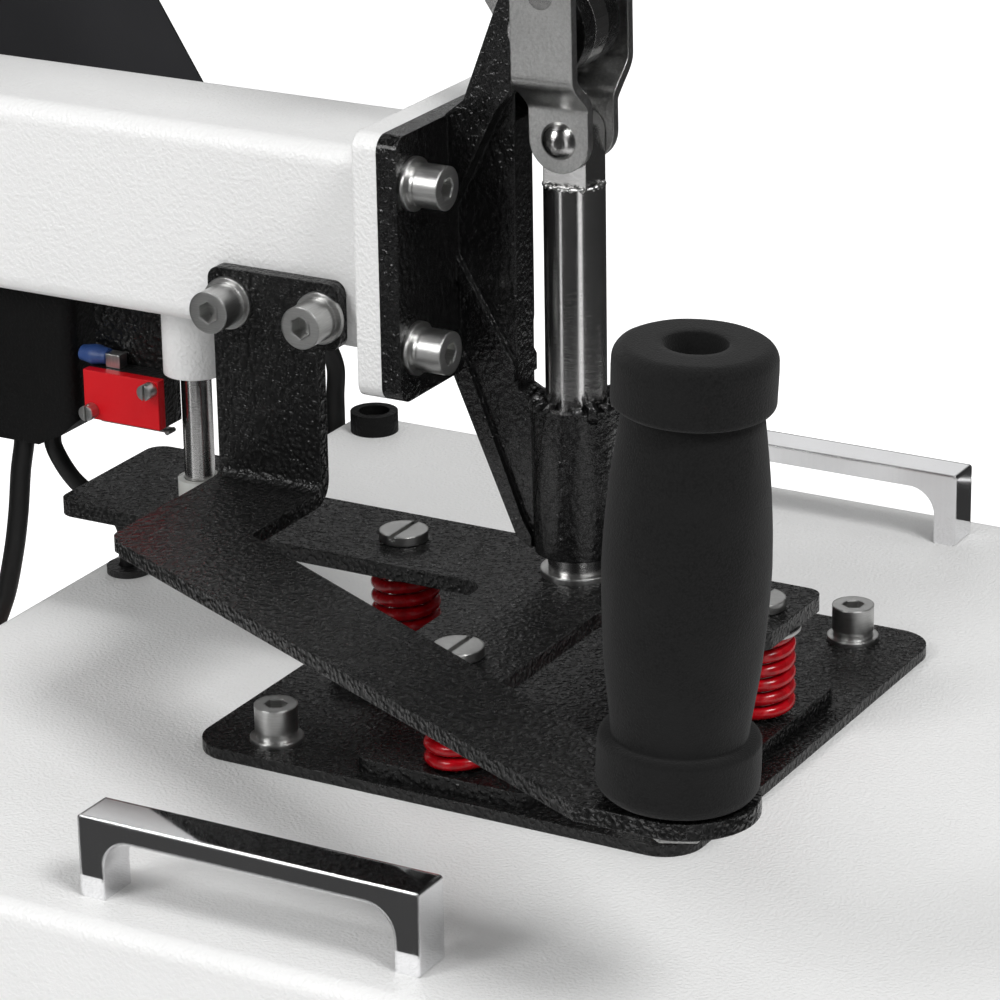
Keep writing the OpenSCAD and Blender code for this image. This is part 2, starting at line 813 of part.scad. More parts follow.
// Foam grip: two collars and a barrel that swells between two necks
function edge_arc(r, z, rise, n = 5) = [for (k = [0 : n]) let (a = 90 * k / n)
    rise > 0 ? [r - grip_edge_r * (1 - cos(a)), z - grip_edge_r * (1 - sin(a))]
        : [r - grip_edge_r * (1 - sin(a)), z + grip_edge_r * (1 - cos(a))]];
barrel_low = grip_collar_h;
barrel_high = grip_h - grip_collar_h;
function barrel() = [for (k = [0 : grip_steps]) let (t = k / grip_steps)
    [grip_neck_d / 2 + (grip_belly_d - grip_neck_d) / 2 * sin(180 * t),
        barrel_low + t * (barrel_high - barrel_low)]];
module foam_grip() {
    color([0.08, 0.08, 0.08]) lean_grip(strap_top) translate([0, 0, grip_rise]) difference() {
        rotate_extrude() polygon(concat([[0, 0]], edge_arc(grip_d / 2, 0, -1),
            [[grip_d / 2, barrel_low - grip_neck_r], [grip_d / 2 - grip_neck_r / 2, barrel_low]],
            barrel(), [[grip_cap_d / 2 - grip_neck_r / 2, barrel_high],
                [grip_cap_d / 2, barrel_high + grip_neck_r]],
            edge_arc(grip_cap_d / 2, grip_h, 1), [[0, grip_h]]));
        translate([0, 0, -cut]) cylinder(h = grip_h + 2 * cut, d = grip_bore_d);
        translate([0, 0, grip_h - grip_recess_h]) cylinder(h = grip_recess_h + cut, d = grip_recess_d);
    }
}

// Bracket under the arm that carries the micro switch on its near face
switch_far = switch_near + switch_cover_t + switch_body_t;
module switch_bracket() {
    color([0.1, 0.1, 0.1]) translate([0, 0, top_z]) {
        difference() {
            union() {
                translate([switch_far, hang_front, switch_low])
                    cube([hang_t, hang_back - hang_front, arm_rise - switch_low]);
                translate([switch_far, switch_back - switch_len, switch_low])
                    cube([hang_t, hang_back - switch_back + switch_len, switch_h]);
            }
            for (s = [-1, 1]) translate([switch_far - cut, switch_back - switch_len / 2 + s * switch_screw_dy,
                switch_low + switch_h / 2 + s * switch_screw_dz]) rotate([0, 90, 0])
                cylinder(h = hang_t + 2 * cut, d = switch_screw_d + hole_gap);
        }
        difference() {
            translate([switch_far + hang_t - eps, rod_back + boss_d / 2 + part_gap, arm_rise - hang_t])
                cube([hang_foot, hang_back - rod_back - boss_d / 2 - part_gap, hang_t]);
            translate([switch_far + hang_foot / 2, hang_back - hang_foot, arm_rise - hang_t - cut])
                cylinder(h = hang_t + 2 * cut, d = m8_d / 2);
        }
    }
}

module switch_block(x, t, shade) {
    color(shade) difference() {
        translate([x, switch_back - switch_len, top_z + switch_low]) cube([t, switch_len, switch_h]);
        for (s = [-1, 1]) translate([x - cut, switch_back - switch_len / 2 + s * switch_screw_dy,
            top_z + switch_low + switch_h / 2 + s * switch_screw_dz]) rotate([0, 90, 0])
            cylinder(h = t + 2 * cut, d = switch_screw_d + hole_gap);
    }
}
module switch_cover() { switch_block(switch_near, switch_cover_t, "red"); }
module switch_body() { switch_block(switch_near + switch_cover_t, switch_body_t, [0.1, 0.1, 0.1]); }

module switch_screws() {
    color("silver") for (s = [-1, 1]) translate([switch_near, switch_back - switch_len / 2
        + s * switch_screw_dy, top_z + switch_low + switch_h / 2 + s * switch_screw_dz]) rotate([0, 90, 0]) {
            difference() {
                translate([0, 0, -switch_screw_out]) cylinder(h = switch_screw_out, d = switch_screw_head);
                translate([-switch_screw_head, -slot_w / 4, -switch_screw_out - cut])
                    cube([2 * switch_screw_head, slot_w / 2, cut + switch_screw_out / 2]);
            }
            cylinder(h = switch_cover_t + switch_body_t + hang_t, d = switch_screw_d);
        }
}

// Sprung blade under the switch, pivoted at the switch's back end
blade_y = switch_back - blade_root;
blade_z = top_z + switch_low - blade_drop;
blade_x = switch_near + switch_cover_t + (switch_body_t - blade_w) / 2;
module switch_lever() {
    color("silver") {
        translate([blade_x, blade_y, blade_z]) rotate([0, 90, 0]) cylinder(h = blade_w, d = blade_pin_d);
        translate([blade_x, blade_y - blade_len, blade_z - blade_pin_d / 2])
            cube([blade_w, blade_len, blade_t]);
        translate([blade_x, blade_y - blade_len, blade_z - blade_pin_d / 2]) rotate([0, 90, 0])
            cylinder(h = blade_w, d = blade_pin_d);
    }
}

// Rubber boot that the leads leave the arm by, and the gland where their loop goes back up
module lead_boots() {
    color([0.07, 0.07, 0.07]) {
        arm_boot();
        loop_gland();
    }
}
module arm_boot() {
    intersection() {
        translate([-boot_x / 2, 0, top_z]) rotate([90, 0, 90]) linear_extrude(boot_x)
            polygon([[boot_back, boot_low], [boot_heel, boot_low], [boot_front + boot_r, boot_nose],
                [boot_front, boot_nose + boot_r], [boot_front, arm_rise], [boot_back, arm_rise]]);
        translate([0, (boot_back + boot_front) / 2, top_z])
            round_plate(boot_x, boot_back - boot_front, arm_rise, boot_r);
    }
}

// Control box: a shell with a sloping face on the arm's far side
face_rise = box_h / cos(face_tilt);
function face_y(z) = box_front + z * tan(face_tilt);
module box_solid(inset) {
    translate([box_near + inset, 0, top_z + box_low]) rotate([90, 0, 90])
        linear_extrude(box_w - 2 * inset) polygon([
            [box_front + 1.5 * inset, inset], [box_front + box_foot - inset, inset],
            [face_y(box_h) + box_head - inset, box_h - inset], [face_y(box_h) + inset / 2, box_h - inset]]);
}
box_mid = box_near + box_w / 2;
// Frame on the sloping face: X along the box, Y up the face, Z out of it
module on_face() {
    translate([box_mid, box_front, top_z + box_low]) rotate([90 - face_tilt, 0, 0]) children();
}
key_places = [-key_pitch, 0, key_pitch];
module control_box() {
    color([0.08, 0.08, 0.08]) difference() {
        box_solid(0);
        box_solid(box_wall);
        for (x = key_places) on_face() translate([x, key_rise, 0])
            cube([key_w + 2 * part_gap, key_h + 2 * part_gap, 4 * box_wall], center = true);
        translate([heater_route[0][0], heater_route[0][1], top_z + box_low - cut])
            cylinder(h = box_wall + 2 * cut, d = lead_d + 2 * part_gap);
        translate([box_near + box_w - 2 * box_wall, face_y(0) + rocker_back, top_z + box_low + rocker_up])
            translate([0, -rocker_l / 2 - rocker_gap, -rocker_w / 2 - rocker_gap])
                cube([3 * box_wall, rocker_l + 2 * rocker_gap, rocker_w + 2 * rocker_gap]);
    }
}

module control_panel() {
    color([0.14, 0.14, 0.15]) on_face() difference() {
        translate([0, face_rise / 2, 0])
            round_plate(box_w - 2 * panel_inset, face_rise - 2 * panel_inset, panel_t, panel_inset);
        for (x = key_places) translate([x, key_rise, panel_t / 2])
            cube([key_w + 2 * part_gap, key_h + 2 * part_gap, 2 * panel_t], center = true);
        translate([0, face_rise - window_drop - window_h / 2, panel_t])
            cube([window_w, window_h, 2 * (panel_t - window_t / 2)], center = true);
    }
}

module panel_key(x) {
    color("dimgray") on_face() translate([x, key_rise, -key_in])
        round_plate(key_w, key_h, key_in + panel_t + key_out, key_in / 2);
}
module key_mode() { panel_key(key_places[0]); }
module key_down() { panel_key(key_places[1]); }
module key_up() { panel_key(key_places[2]); }

module power_rocker() {
    color("firebrick") translate([box_near + box_w - box_wall, face_y(0) + rocker_back,
        top_z + box_low + rocker_up]) intersection() {
            translate([0, -rocker_l / 2, -rocker_w / 2]) cube([rocker_t, rocker_l, rocker_w]);
            translate([0, 0, -rocker_w / 2]) cylinder(h = rocker_w, d = rocker_l);
        }
}

// Leads held between two housings, their routes chosen by hand for the home sizes, heights
// above the pad. Each end then moves with its housing, and the points between by their share.
side_home = 195;
column_home = 300;
side_shift = cover_side / 2 - side_home;
back_shift = column_y - column_home;
function moved(p, first, last) = [for (k = [0 : len(p) - 1]) let (t = k / (len(p) - 1))
    p[k] + (1 - t) * first + t * last];
heater_points = [[112, 236, 192], [112, 236, 180], [118, 234, 164], [138, 226, 142], [164, 214, 122],
    [180, 204, 104], [187, 200, 90], [187, 200, 76], [187, 200, 56], [187, 200, 33]];
sensor_points = [[2, 191, 124.6], [2, 191, 120], [4, 189, 113], [8, 187, 106], [14, 184, 99],
    [22, 182, 92], [26, 181, 82], [26, 181, 72], [26, 181, 45]];
power_points = [[0, 201, 124.6], [0, 201, 120], [0, 203, 110], [0, 205, 95], [0, 208, 80], [0, 213, 63],
    [0, 221, 49], [0, 234, 43], [0, 245, 50], [0, 251, 68], [0, 253, 100], [0, 253, 140],
    [0, 253, 160], [0, 253, 176]];
heater_route = moved(heater_points, [0, back_shift, 0], [side_shift, side_shift, 0]);
sensor_route = moved(sensor_points, [0, 0, 0], [0, side_shift, 0]);
power_route = moved(power_points, [0, 0, 0], [0, back_shift, 0]);
loop_end = power_route[len(power_route) - 1];
lead_steps = 2;
gland_d = 15;
gland_h = 10;
grommet_over = 8;
grommet_h = 2.4;
terminal_w = 18;
terminal_d = 15;
terminal_h = 30;
terminal_edge = 6;
module lead(route, d) {
    color([0.06, 0.06, 0.06]) swept_tube(smooth_route(route, lead_steps), d, lead_sides);
}
module heater_lead() { lead(heater_route, lead_d); }
module sensor_lead() { lead(sensor_route, thin_lead_d); }
module power_lead() { lead(power_route, lead_d); }

module loop_gland() {
    translate([loop_end[0], loop_end[1], arm_z - gland_h]) difference() {
        cylinder(h = gland_h, d = gland_d);
        translate([0, 0, -cut]) cylinder(h = gland_h + 2 * cut, d = lead_d + 2 * part_gap);
    }
}

// Press lever: a hub plate between the ears, a socket, a tube and a hand grip
module at_pivot() { translate([0, pivot_back, pivot_z]) children(); }
// The frame that has its Z along the lever
module along_lever() { at_pivot() rotate([90 - lever_angle, 0, 0]) children(); }
function level_dir(a) = [-cos(a), sin(a)];
knee_out = knee_arm * level_dir(knee_angle);
neck_out = hub_neck_at * level_dir(lever_angle);
module side_hull(a, ra, b, rb) {
    hull() {
        translate(a) circle(ra, $fn = hull_fn);
        translate(b) circle(rb, $fn = hull_fn);
    }
}
module pin_hole(half) {
    at_pivot() translate([-half, 0, 0]) rotate([0, 90, 0])
        cylinder(h = 2 * half, d = pivot_pin_d + 2 * run_gap);
}
module lever_hub() {
    color([0.55, 0.55, 0.55]) difference() {
        union() {
            at_pivot() translate([-hub_t / 2, 0, 0]) rotate([90, 0, 90]) linear_extrude(hub_t)
                side_hull([0, 0], hub_r, neck_out, hub_neck_r);
            along_lever() translate([0, 0, socket_at - socket_len / 2])
                cylinder(h = socket_len, d = socket_d);
        }
        along_lever() translate([0, 0, socket_at - socket_len / 4])
            cylinder(h = socket_len, d = lever_d + 2 * run_gap);
        pin_hole(hub_t);
    }
}
// Two cheeks outside the ears carry the knee pins and turn with the hub on the pivot pin
module knee_cheeks() {
    color([0.4, 0.4, 0.4]) difference() {
        for (s = [-1, 1]) at_pivot() translate([s * (cheek_in + cheek_t / 2) - cheek_t / 2, 0, 0])
            rotate([90, 0, 90]) linear_extrude(cheek_t) side_hull([0, 0], cheek_r, knee_out, cheek_r);
        pin_hole(2 * link_high);
        translate([-2 * link_high, knee_y, knee_z]) rotate([0, 90, 0])
            cylinder(h = 4 * link_high, d = knee_pin_d + 2 * run_gap);
    }
}
module pivot_pin() {
    color("silver") at_pivot() translate([-cheek_in - cheek_t, 0, 0]) rotate([0, 90, 0])
        cylinder(h = 2 * (cheek_in + cheek_t), d = pivot_pin_d);
}
tube_from = socket_at - socket_len / 4;
module lever_tube() {
    color("silver") along_lever() translate([0, 0, tube_from + part_gap])
        cylinder(h = lever_len - tube_from - lever_end_gap - part_gap, d = lever_d);
}
module hand_grip() {
    color("black") along_lever() translate([0, 0, lever_len - hand_grip_len]) difference() {
        union() {
            cylinder(h = hand_grip_len - hand_grip_r, d = hand_grip_d);
            cylinder(h = hand_grip_len, d = hand_grip_d - 2 * hand_grip_r);
            translate([0, 0, hand_grip_len - hand_grip_r]) rotate_extrude()
                translate([hand_grip_d / 2 - hand_grip_r, 0]) circle(hand_grip_r);
        }
        translate([0, 0, -cut]) cylinder(h = hand_grip_len - lever_end_gap + cut, d = lever_d + 2 * run_gap);
    }
}

// Toggle link: two joggled plates from the rivet up to the knee pin
module along_link() {
    translate([0, 0, rivet_z]) rotate([-link_tilt, 0, 0]) children();
}
// Side view outline of one plate, thickness along X, Y up the link
function link_side() = [[link_low, -link_foot_w / 2], [link_low + link_t, -link_foot_w / 2],
    [link_low + link_t, joggle_low], [link_high + link_t, joggle_high],
    [link_high + link_t, link_len + link_w / 2], [link_high, link_len + link_w / 2],
    [link_high, joggle_high + link_t / 2], [link_low, joggle_low + link_t / 2]];
module link_face() {
    translate([0, 0]) circle(d = link_foot_w);
    translate([-link_foot_w / 2, 0]) square([link_foot_w, joggle_low + link_t]);
    translate([-link_w / 2, joggle_low]) square([link_w, link_len - joggle_low]);
    translate([0, link_len]) circle(d = link_w);
}
module link_plate(s) {
    difference() {
        intersection() {
            translate([0, link_w, 0]) rotate([90, 0, 0]) linear_extrude(2 * link_w)
                polygon([for (p = link_side()) [s * p[0], p[1]]]);
            translate([-2 * link_high, 0, 0]) rotate([90, 0, 90]) linear_extrude(4 * link_high)
                link_face();
        }
        translate([s * (link_low - cut), 0, 0]) rotate([0, s * 90, 0])
            cylinder(h = link_t + 2 * cut, d = rivet_d);
        translate([s * (link_high - cut), 0, link_len]) rotate([0, s * 90, 0])
            cylinder(h = link_t + 2 * cut, d = knee_pin_d + 2 * run_gap);
    }
}
module toggle_link() {
    color("lightgray") along_link() for (s = [-1, 1]) link_plate(s);
}

// Rivets at the plunger end and knee pins at the other, one of each to a plate
dome_r = (pow(rivet_head_d / 2, 2) + pow(rivet_head_h, 2)) / (2 * rivet_head_h);
module dome(d, h, r) {
    intersection() {
        cylinder(h = h, d = d);
        translate([0, 0, h - r]) sphere(r);
    }
}
module link_pins() {
    color("silver") along_link() {
        for (s = [-1, 1]) translate([s * link_low, 0, 0]) rotate([0, s * 90, 0]) {
            cylinder(h = link_t, d = rivet_d);
            translate([0, 0, link_t]) dome(rivet_head_d, rivet_head_h, dome_r);
        }
        for (s = [-1, 1]) translate([0, 0, link_len]) rotate([0, s * 90, 0]) {
            translate([0, 0, stub_in]) cylinder(h = link_high + link_t - stub_in, d = knee_pin_d);
        }
    }
}

module plunger() {
    color("silver") {
        translate([0, 0, shaft_z]) cylinder(h = plunger_len, d = plunger_d);
        difference() {
            translate([-tongue_t / 2, 0, 0]) rotate([90, 0, 90]) linear_extrude(tongue_t) {
                translate([-tongue_w / 2, shoulder_z - eps]) square([tongue_w, tongue_rise + eps]);
                translate([0, rivet_z]) circle(d = tongue_w);
            }
            translate([-tongue_t / 2 - cut, 0, rivet_z]) rotate([0, 90, 0])
                cylinder(h = tongue_t + 2 * cut, d = tongue_hole_d);
        }
    }
}

// Washer under the plunger and the washers that the springs push on
module plunger_washers() {
    color("silver") {
        translate([0, 0, plate_top]) cylinder(h = plunger_washer_t, d = plunger_washer_d);
        for (p = bolt_places) translate([p[0], p[1], plate_z - spring_washer_t]) difference() {
            cylinder(h = spring_washer_t, d = spring_washer_d);
            translate([0, 0, -cut]) cylinder(h = spring_washer_t + 2 * cut, d = bolt_d + 2 * hole_gap);
        }
    }
}

// The tail behind the plunger, wider on the far side at its end
module tail_outline() {
    wide = tail_far + plate_arm_w / 2;
    translate([0, tail_reach / 2]) round_rect(plate_arm_w, tail_reach, tail_corner);
    translate([tail_far - wide / 2, tail_reach - tail_wide_len / 2])
        round_rect(wide, tail_wide_len, tail_corner);
    translate([0, tail_reach - tail_wide_len]) polygon([[0, -tail_flare], [plate_arm_w / 2, -tail_flare],
        [tail_far, 0], [tail_far, tail_corner], [0, tail_corner]]);
}
module pressure_plate() {
    color([0.1, 0.1, 0.1]) translate([0, 0, plate_z]) difference() {
        linear_extrude(plate_t) {
            plus_outline(spring_x + plate_end, spring_y + plate_end, plate_arm_w, plate_fillet, plate_corner);
            tail_outline();
        }
        for (p = bolt_places) translate([p[0], p[1], -cut])
            cylinder(h = plate_t + 2 * cut, d = bolt_d + 2 * hole_gap);
        translate([0, rod_back, -cut]) cylinder(h = plate_t + 2 * cut, d = rod_d + hole_gap);
    }
}

// Guide rod on the tail, with a nut and washer under the plate
rod_top = arm_z + rod_top_gap;
module guide_rod() {
    color("silver") translate([0, rod_back, plate_z - rod_nut_h]) {
        cylinder(h = rod_top + rod_nut_h - plate_z, d = rod_d);
        cylinder(h = rod_nut_h, d = rod_nut_d);
    }
}
module rod_buffer() {
    color("gainsboro") translate([0, rod_back, plate_top]) difference() {
        cylinder(h = rod_foot_h, d = rod_foot_d);
        translate([0, 0, -cut]) cylinder(h = rod_foot_h + 2 * cut, d = rod_d + hole_gap);
    }
}

module die_springs() {
    color("red") for (p = bolt_places) translate([p[0], p[1], seat_z]) spring();
}

module spring_bolts() {
    color("silver") for (p = bolt_places) translate([p[0], p[1], 0]) difference() {
        union() {
            translate([0, 0, plate_top + part_gap]) cylinder(h = bolt_head_h, d = bolt_head_d);
            translate([0, 0, mount_z]) cylinder(h = plate_top + 2 * part_gap - mount_z, d = bolt_d);
        }
        translate([-bolt_head_d, -slot_w / 2, plate_top + part_gap + bolt_head_h - slot_depth])
            cube([2 * bolt_head_d, slot_w, slot_depth + cut]);
    }
}

module seat_plate() {
    color([0.1, 0.1, 0.1]) translate([0, 0, mount_z]) difference() {
        linear_extrude(seat_t)
            plus_outline(spring_x + seat_end, spring_y + seat_end, seat_arm_w, seat_fillet, seat_corner);
        for (p = bolt_places) translate([p[0], p[1], -cut])
            cylinder(h = seat_t + 2 * cut, d = bolt_d + hole_gap / 4);
    }
}

module mounting_plate() {
    color([0.1, 0.1, 0.1]) difference() {
        translate([0, mount_shift, top_z]) round_plate(mount_x, mount_y, mount_t, mount_r);
        for (p = mount_places) translate([p[0], p[1], top_z - cut])
            cylinder(h = mount_t + 2 * cut, d = bolt_hole_d);
    }
}

module mount_bolts() {
    color("silver") for (p = mount_places) translate([p[0], p[1], mount_z]) m8_screw(mount_screw_len);
}

// Sheet cover, open below, with holes for the plate's screws and a hole for each lead
sensor_hole_d = thin_lead_d + 2 * hole_gap;
heater_hole_d = lead_d + 2 * hole_gap;
sensor_end = sensor_route[len(sensor_route) - 1];
heater_end = heater_route[len(heater_route) - 1];
module cover_arch(w, h, r) {
    translate([0, h / 2]) round_rect(w, h, r);
    translate([-w / 2, 0]) square([w, h - r]);
}
// A block with round upright corners and round top edges
module cover_block(w, h, r) {
    intersection() {
        round_plate(w, w, h, r + cover_inset);
        translate([0, w / 2 + cut, 0]) rotate([90, 0, 0]) linear_extrude(w + 2 * cut) cover_arch(w, h, r);
        translate([-w / 2 - cut, 0, 0]) rotate([90, 0, 90]) linear_extrude(w + 2 * cut) cover_arch(w, h, r);
    }
}
module platen_cover() {
    color("white") difference() {
        translate([0, 0, cover_z]) cover_block(cover_side, cover_h, cover_r);
        translate([0, 0, cover_z - cut])
            cover_block(cover_side - 2 * cover_wall, cover_h - cover_wall + cut, cover_r - cover_wall);
        for (p = mount_places) translate([p[0], p[1], top_z - cover_wall - cut])
            cylinder(h = cover_wall + 2 * cut, d = bolt_hole_d);
        translate([sensor_end[0], sensor_end[1], top_z - cover_wall - cut])
            cylinder(h = cover_wall + 2 * cut, d = sensor_hole_d);
    }
}

// Ring round the sensor lead's hole
module sensor_ring() {
    translate([sensor_end[0], sensor_end[1], top_z]) difference() {
        cylinder(h = grommet_h, d = sensor_hole_d + grommet_over);
        translate([0, 0, -cut]) cylinder(h = grommet_h + 2 * cut, d = sensor_hole_d);
    }
}

// Terminal box on the cover's back, which the heater lead goes down into
module terminal_box() {
    difference() {
        translate([heater_end[0] - terminal_w + terminal_edge, cover_side / 2,
            heater_end[2] - terminal_edge / 2]) cube([terminal_w, terminal_d, terminal_h]);
        translate([heater_end[0], heater_end[1], heater_end[2] - terminal_edge])
            cylinder(h = terminal_h + 2 * terminal_edge, d = heater_hole_d);
    }
}

// Where the two leads go into the head
module lead_inlets() {
    color([0.1, 0.1, 0.1]) {
        sensor_ring();
        terminal_box();
    }
}

// Sleeves on the studs that hold the heater plate under the cover
module spacer_sleeves() {
    color("silver") for (p = mount_places) translate([p[0], p[1], heater_z + heater_t]) difference() {
        cylinder(h = head_h - cover_wall - heater_t, d = sleeve_d);
        translate([0, 0, -cut]) cylinder(h = head_h, d = bolt_hole_d);
    }
}

insulation_side = cover_side - 2 * cover_wall - 2 * insulation_inset;
module insulation() {
    color("wheat") translate([0, 0, heater_z + heater_t]) difference() {
        round_plate(insulation_side, insulation_side, insulation_t, insulation_inset);
        for (p = mount_places) translate([p[0], p[1], -cut])
            cylinder(h = insulation_t + 2 * cut, d = sleeve_hole_d);
        translate([sensor_end[0], sensor_end[1], -cut])
            cylinder(h = insulation_t + 2 * cut, d = sleeve_hole_d);
    }
}

stud_foot_z = mount_z - mount_screw_len - part_gap;
module heater_plate() {
    color("silver") difference() {
        translate([0, 0, heater_z]) round_plate(heater_side, heater_side, heater_t, cover_r);
        for (p = mount_places) translate([p[0], p[1], stud_foot_z])
            cylinder(h = heater_z + heater_t + cut - stud_foot_z, d = m8_d + stud_hole_gap);
    }
}

// Bridge handles with arched inner corners
module pull_outline() {
    difference() {
        translate([0, pull_h / 2]) round_rect(pull_len, pull_h, pull_corner);
        translate([-pull_len / 2 + pull_leg, -cut])
            square([pull_len - 2 * pull_leg, pull_h - pull_bar - pull_arch + cut]);
        translate([-pull_len / 2 + pull_leg + pull_arch, 0])
            square([pull_len - 2 * pull_leg - 2 * pull_arch, pull_h - pull_bar]);
        for (s = [-1, 1])
            translate([s * (pull_len / 2 - pull_leg - pull_arch), pull_h - pull_bar - pull_arch])
                circle(pull_arch);
    }
}
module pull_handles() {
    color("silver") for (s = [-1, 1]) translate([s * pull_x - pull_w / 2, pull_shift, top_z])
        rotate([90, 0, 90]) linear_extrude(pull_w) pull_outline();
}

module corner_cups() {
    color([0.1, 0.1, 0.1]) for (sx = [-1, 1]) for (sy = [-1, 1])
        translate([sx * cup_place, sy * cup_place, top_z]) {
            difference() {
                cylinder(h = cup_h, d = cup_d);
                translate([0, 0, cup_floor]) cylinder(h = cup_h, d = cup_bore_d);
            }
            translate([0, 0, cup_floor - eps]) cylinder(h = cup_head_h, d = cup_head_d);
        }
}

side_rails();
cross_members();
rail_caps();
rubber_feet();
support_posts();
lower_platen();
silicone_pad();
column();
column_bolts();
spindle();
thrust_washer();
spindle_nut();
arm_hub();
arm_tube();
head_casting();
flange_bolts();
rod_bush();
handle_bracket();
bracket_bolts();
grip_bolt();
foam_grip();
switch_bracket();
switch_body();
switch_cover();
switch_screws();
lead_boots();
control_box();
control_panel();
heater_lead();
sensor_lead();
power_lead();
switch_lever();
key_mode();
key_down();
key_up();
power_rocker();
lever_hub();
knee_cheeks();
pivot_pin();
lever_tube();
hand_grip();
toggle_link();
link_pins();
plunger();
plunger_washers();
pressure_plate();
guide_rod();
rod_buffer();
die_springs();
spring_bolts();
seat_plate();
mounting_plate();
mount_bolts();
platen_cover();
lead_inlets();
spacer_sleeves();
insulation();
heater_plate();
pull_handles();
corner_cups();
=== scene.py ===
"""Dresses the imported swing-away heat press: its paints and metals, springs, leads, foam grip,
link plates, weld beads and switch terminals, with the floor, lamps and camera."""

import json
from math import cos, pi, radians, sin

import bpy
import numpy as np
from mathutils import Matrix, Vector


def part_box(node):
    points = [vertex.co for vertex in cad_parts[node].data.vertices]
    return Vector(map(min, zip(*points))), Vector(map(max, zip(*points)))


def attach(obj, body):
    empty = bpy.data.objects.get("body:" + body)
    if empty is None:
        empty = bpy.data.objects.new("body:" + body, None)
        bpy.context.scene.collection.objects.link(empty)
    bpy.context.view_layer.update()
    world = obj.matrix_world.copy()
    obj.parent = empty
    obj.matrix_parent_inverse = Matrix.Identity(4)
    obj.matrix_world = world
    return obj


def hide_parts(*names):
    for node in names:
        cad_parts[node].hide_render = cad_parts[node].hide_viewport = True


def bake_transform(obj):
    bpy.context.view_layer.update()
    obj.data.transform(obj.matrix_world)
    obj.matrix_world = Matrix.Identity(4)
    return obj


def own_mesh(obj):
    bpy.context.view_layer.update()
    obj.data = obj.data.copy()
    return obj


bl_info = {
    "name": "Swing-away heat press",
    "version": (1, 0, 0),
    "blender": (4, 5, 0),
    "location": "View3D > Sidebar > Heat press",
    "description": "Finished pieces and surfaces of a swing-away heat press",
    "category": "Object",
}

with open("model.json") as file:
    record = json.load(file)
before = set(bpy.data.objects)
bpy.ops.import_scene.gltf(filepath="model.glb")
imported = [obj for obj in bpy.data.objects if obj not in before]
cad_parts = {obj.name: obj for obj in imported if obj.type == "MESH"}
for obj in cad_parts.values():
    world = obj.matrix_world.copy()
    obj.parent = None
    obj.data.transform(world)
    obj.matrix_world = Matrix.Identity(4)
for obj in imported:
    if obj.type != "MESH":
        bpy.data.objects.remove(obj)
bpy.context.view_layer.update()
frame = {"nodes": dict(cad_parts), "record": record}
MM = 0.001


def low(node):
    return np.array(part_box(node)[0])


def high(node):
    return np.array(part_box(node)[1])


COVER_TOP = high("platen_cover")[2]


# Surfaces as whole arrays


def unit(v):
    """Each vector of an array divided by its own length."""
    return v / np.maximum(np.linalg.norm(v, axis=-1, keepdims=True), 1e-12)


def ring_surface(grid, capped=True):
    """Corners and faces of a surface whose rows are closed rings.

    Row i, column k joins column k + 1 (the last joins the first) and row i + 1; with capped,
    the first and last rings are closed by one flat face each."""
    rows, cols = grid.shape[:2]
    i, k = np.meshgrid(np.arange(rows - 1), np.arange(cols), indexing="ij")
    q = (k + 1) % cols
    quads = np.stack([i * cols + k, i * cols + q, (i + 1) * cols + q, (i + 1) * cols + k], -1)
    faces = quads.reshape(-1, 4).tolist()
    if capped:
        faces.append(np.arange(cols)[::-1].tolist())
        faces.append((np.arange(cols) + (rows - 1) * cols).tolist())
    return grid.reshape(-1, 3), faces


def torus_surface(grid):
    """Corners and faces of a surface that is closed both along its rows and its columns."""
    rows, cols = grid.shape[:2]
    i, k = np.meshgrid(np.arange(rows), np.arange(cols), indexing="ij")
    p, q = (i + 1) % rows, (k + 1) % cols
    quads = np.stack([i * cols + k, i * cols + q, p * cols + q, p * cols + k], -1)
    return grid.reshape(-1, 3), quads.reshape(-1, 4).tolist()


def sheet_surface(grid):
    """Corners and faces of an open sheet: every four neighbouring points make one face."""
    rows, cols = grid.shape[:2]
    i, k = np.meshgrid(np.arange(rows - 1), np.arange(cols - 1), indexing="ij")
    quads = np.stack(
        [i * cols + k, i * cols + k + 1, (i + 1) * cols + k + 1, (i + 1) * cols + k], -1
    )
    return grid.reshape(-1, 3), quads.reshape(-1, 4).tolist()


def lathe(profile, segments):
    """Turns a (radius, height) profile round the Z axis: x = r cos a, y = r sin a, z = height."""
    a = np.linspace(0, 2 * pi, segments, endpoint=False)
    r, z = profile[:, :1], profile[:, 1:]
    return np.stack([r * np.cos(a), r * np.sin(a), z + 0 * a], -1)


def sweep(path, section, side):
    """Carries a closed section along a path: point = path + section_u * u + section_v * v.

    u is the given side made square to the path's heading, v is heading x u. section holds
    (u, v) pairs for every column, either one set or one set for each row."""
    heading = unit(np.gradient(path, axis=0))
    u = unit(side - (side * heading).sum(-1, keepdims=True) * heading)
    v = np.cross(heading, u)
    section = np.broadcast_to(section, (len(path),) + section.shape[-2:])
    return path[:, None] + section[..., :1] * u[:, None] + section[..., 1:] * v[:, None]


def smooth_route(points, steps):
    """A Catmull-Rom curve through given points: each span is a cubic whose slope at a
    point is half the step between its two neighbours."""
    p = np.asarray(points, float)
    p = np.vstack([p[:1], p, p[-1:]])
    t = (np.arange(steps) / steps)[None, :, None]
    a, b, c, d = p[:-3, None], p[1:-2, None], p[2:-1, None], p[3:, None]
    curve = 0.5 * (2 * b + (c - a) * t + (2 * a - 5 * b + 4 * c - d) * t**2
                   + (3 * b - a - 3 * c + d) * t**3)
    return np.vstack([curve.reshape(-1, 3), p[-1:]])


def smooth_step(z, start, run):
    """A share from 0 to 1 over a run: t t (3 - 2 t) for t = (z - start) / run, held to 0 and 1."""
    t = np.clip((z - start) / run, 0, 1)
    return t * t * (3 - 2 * t)


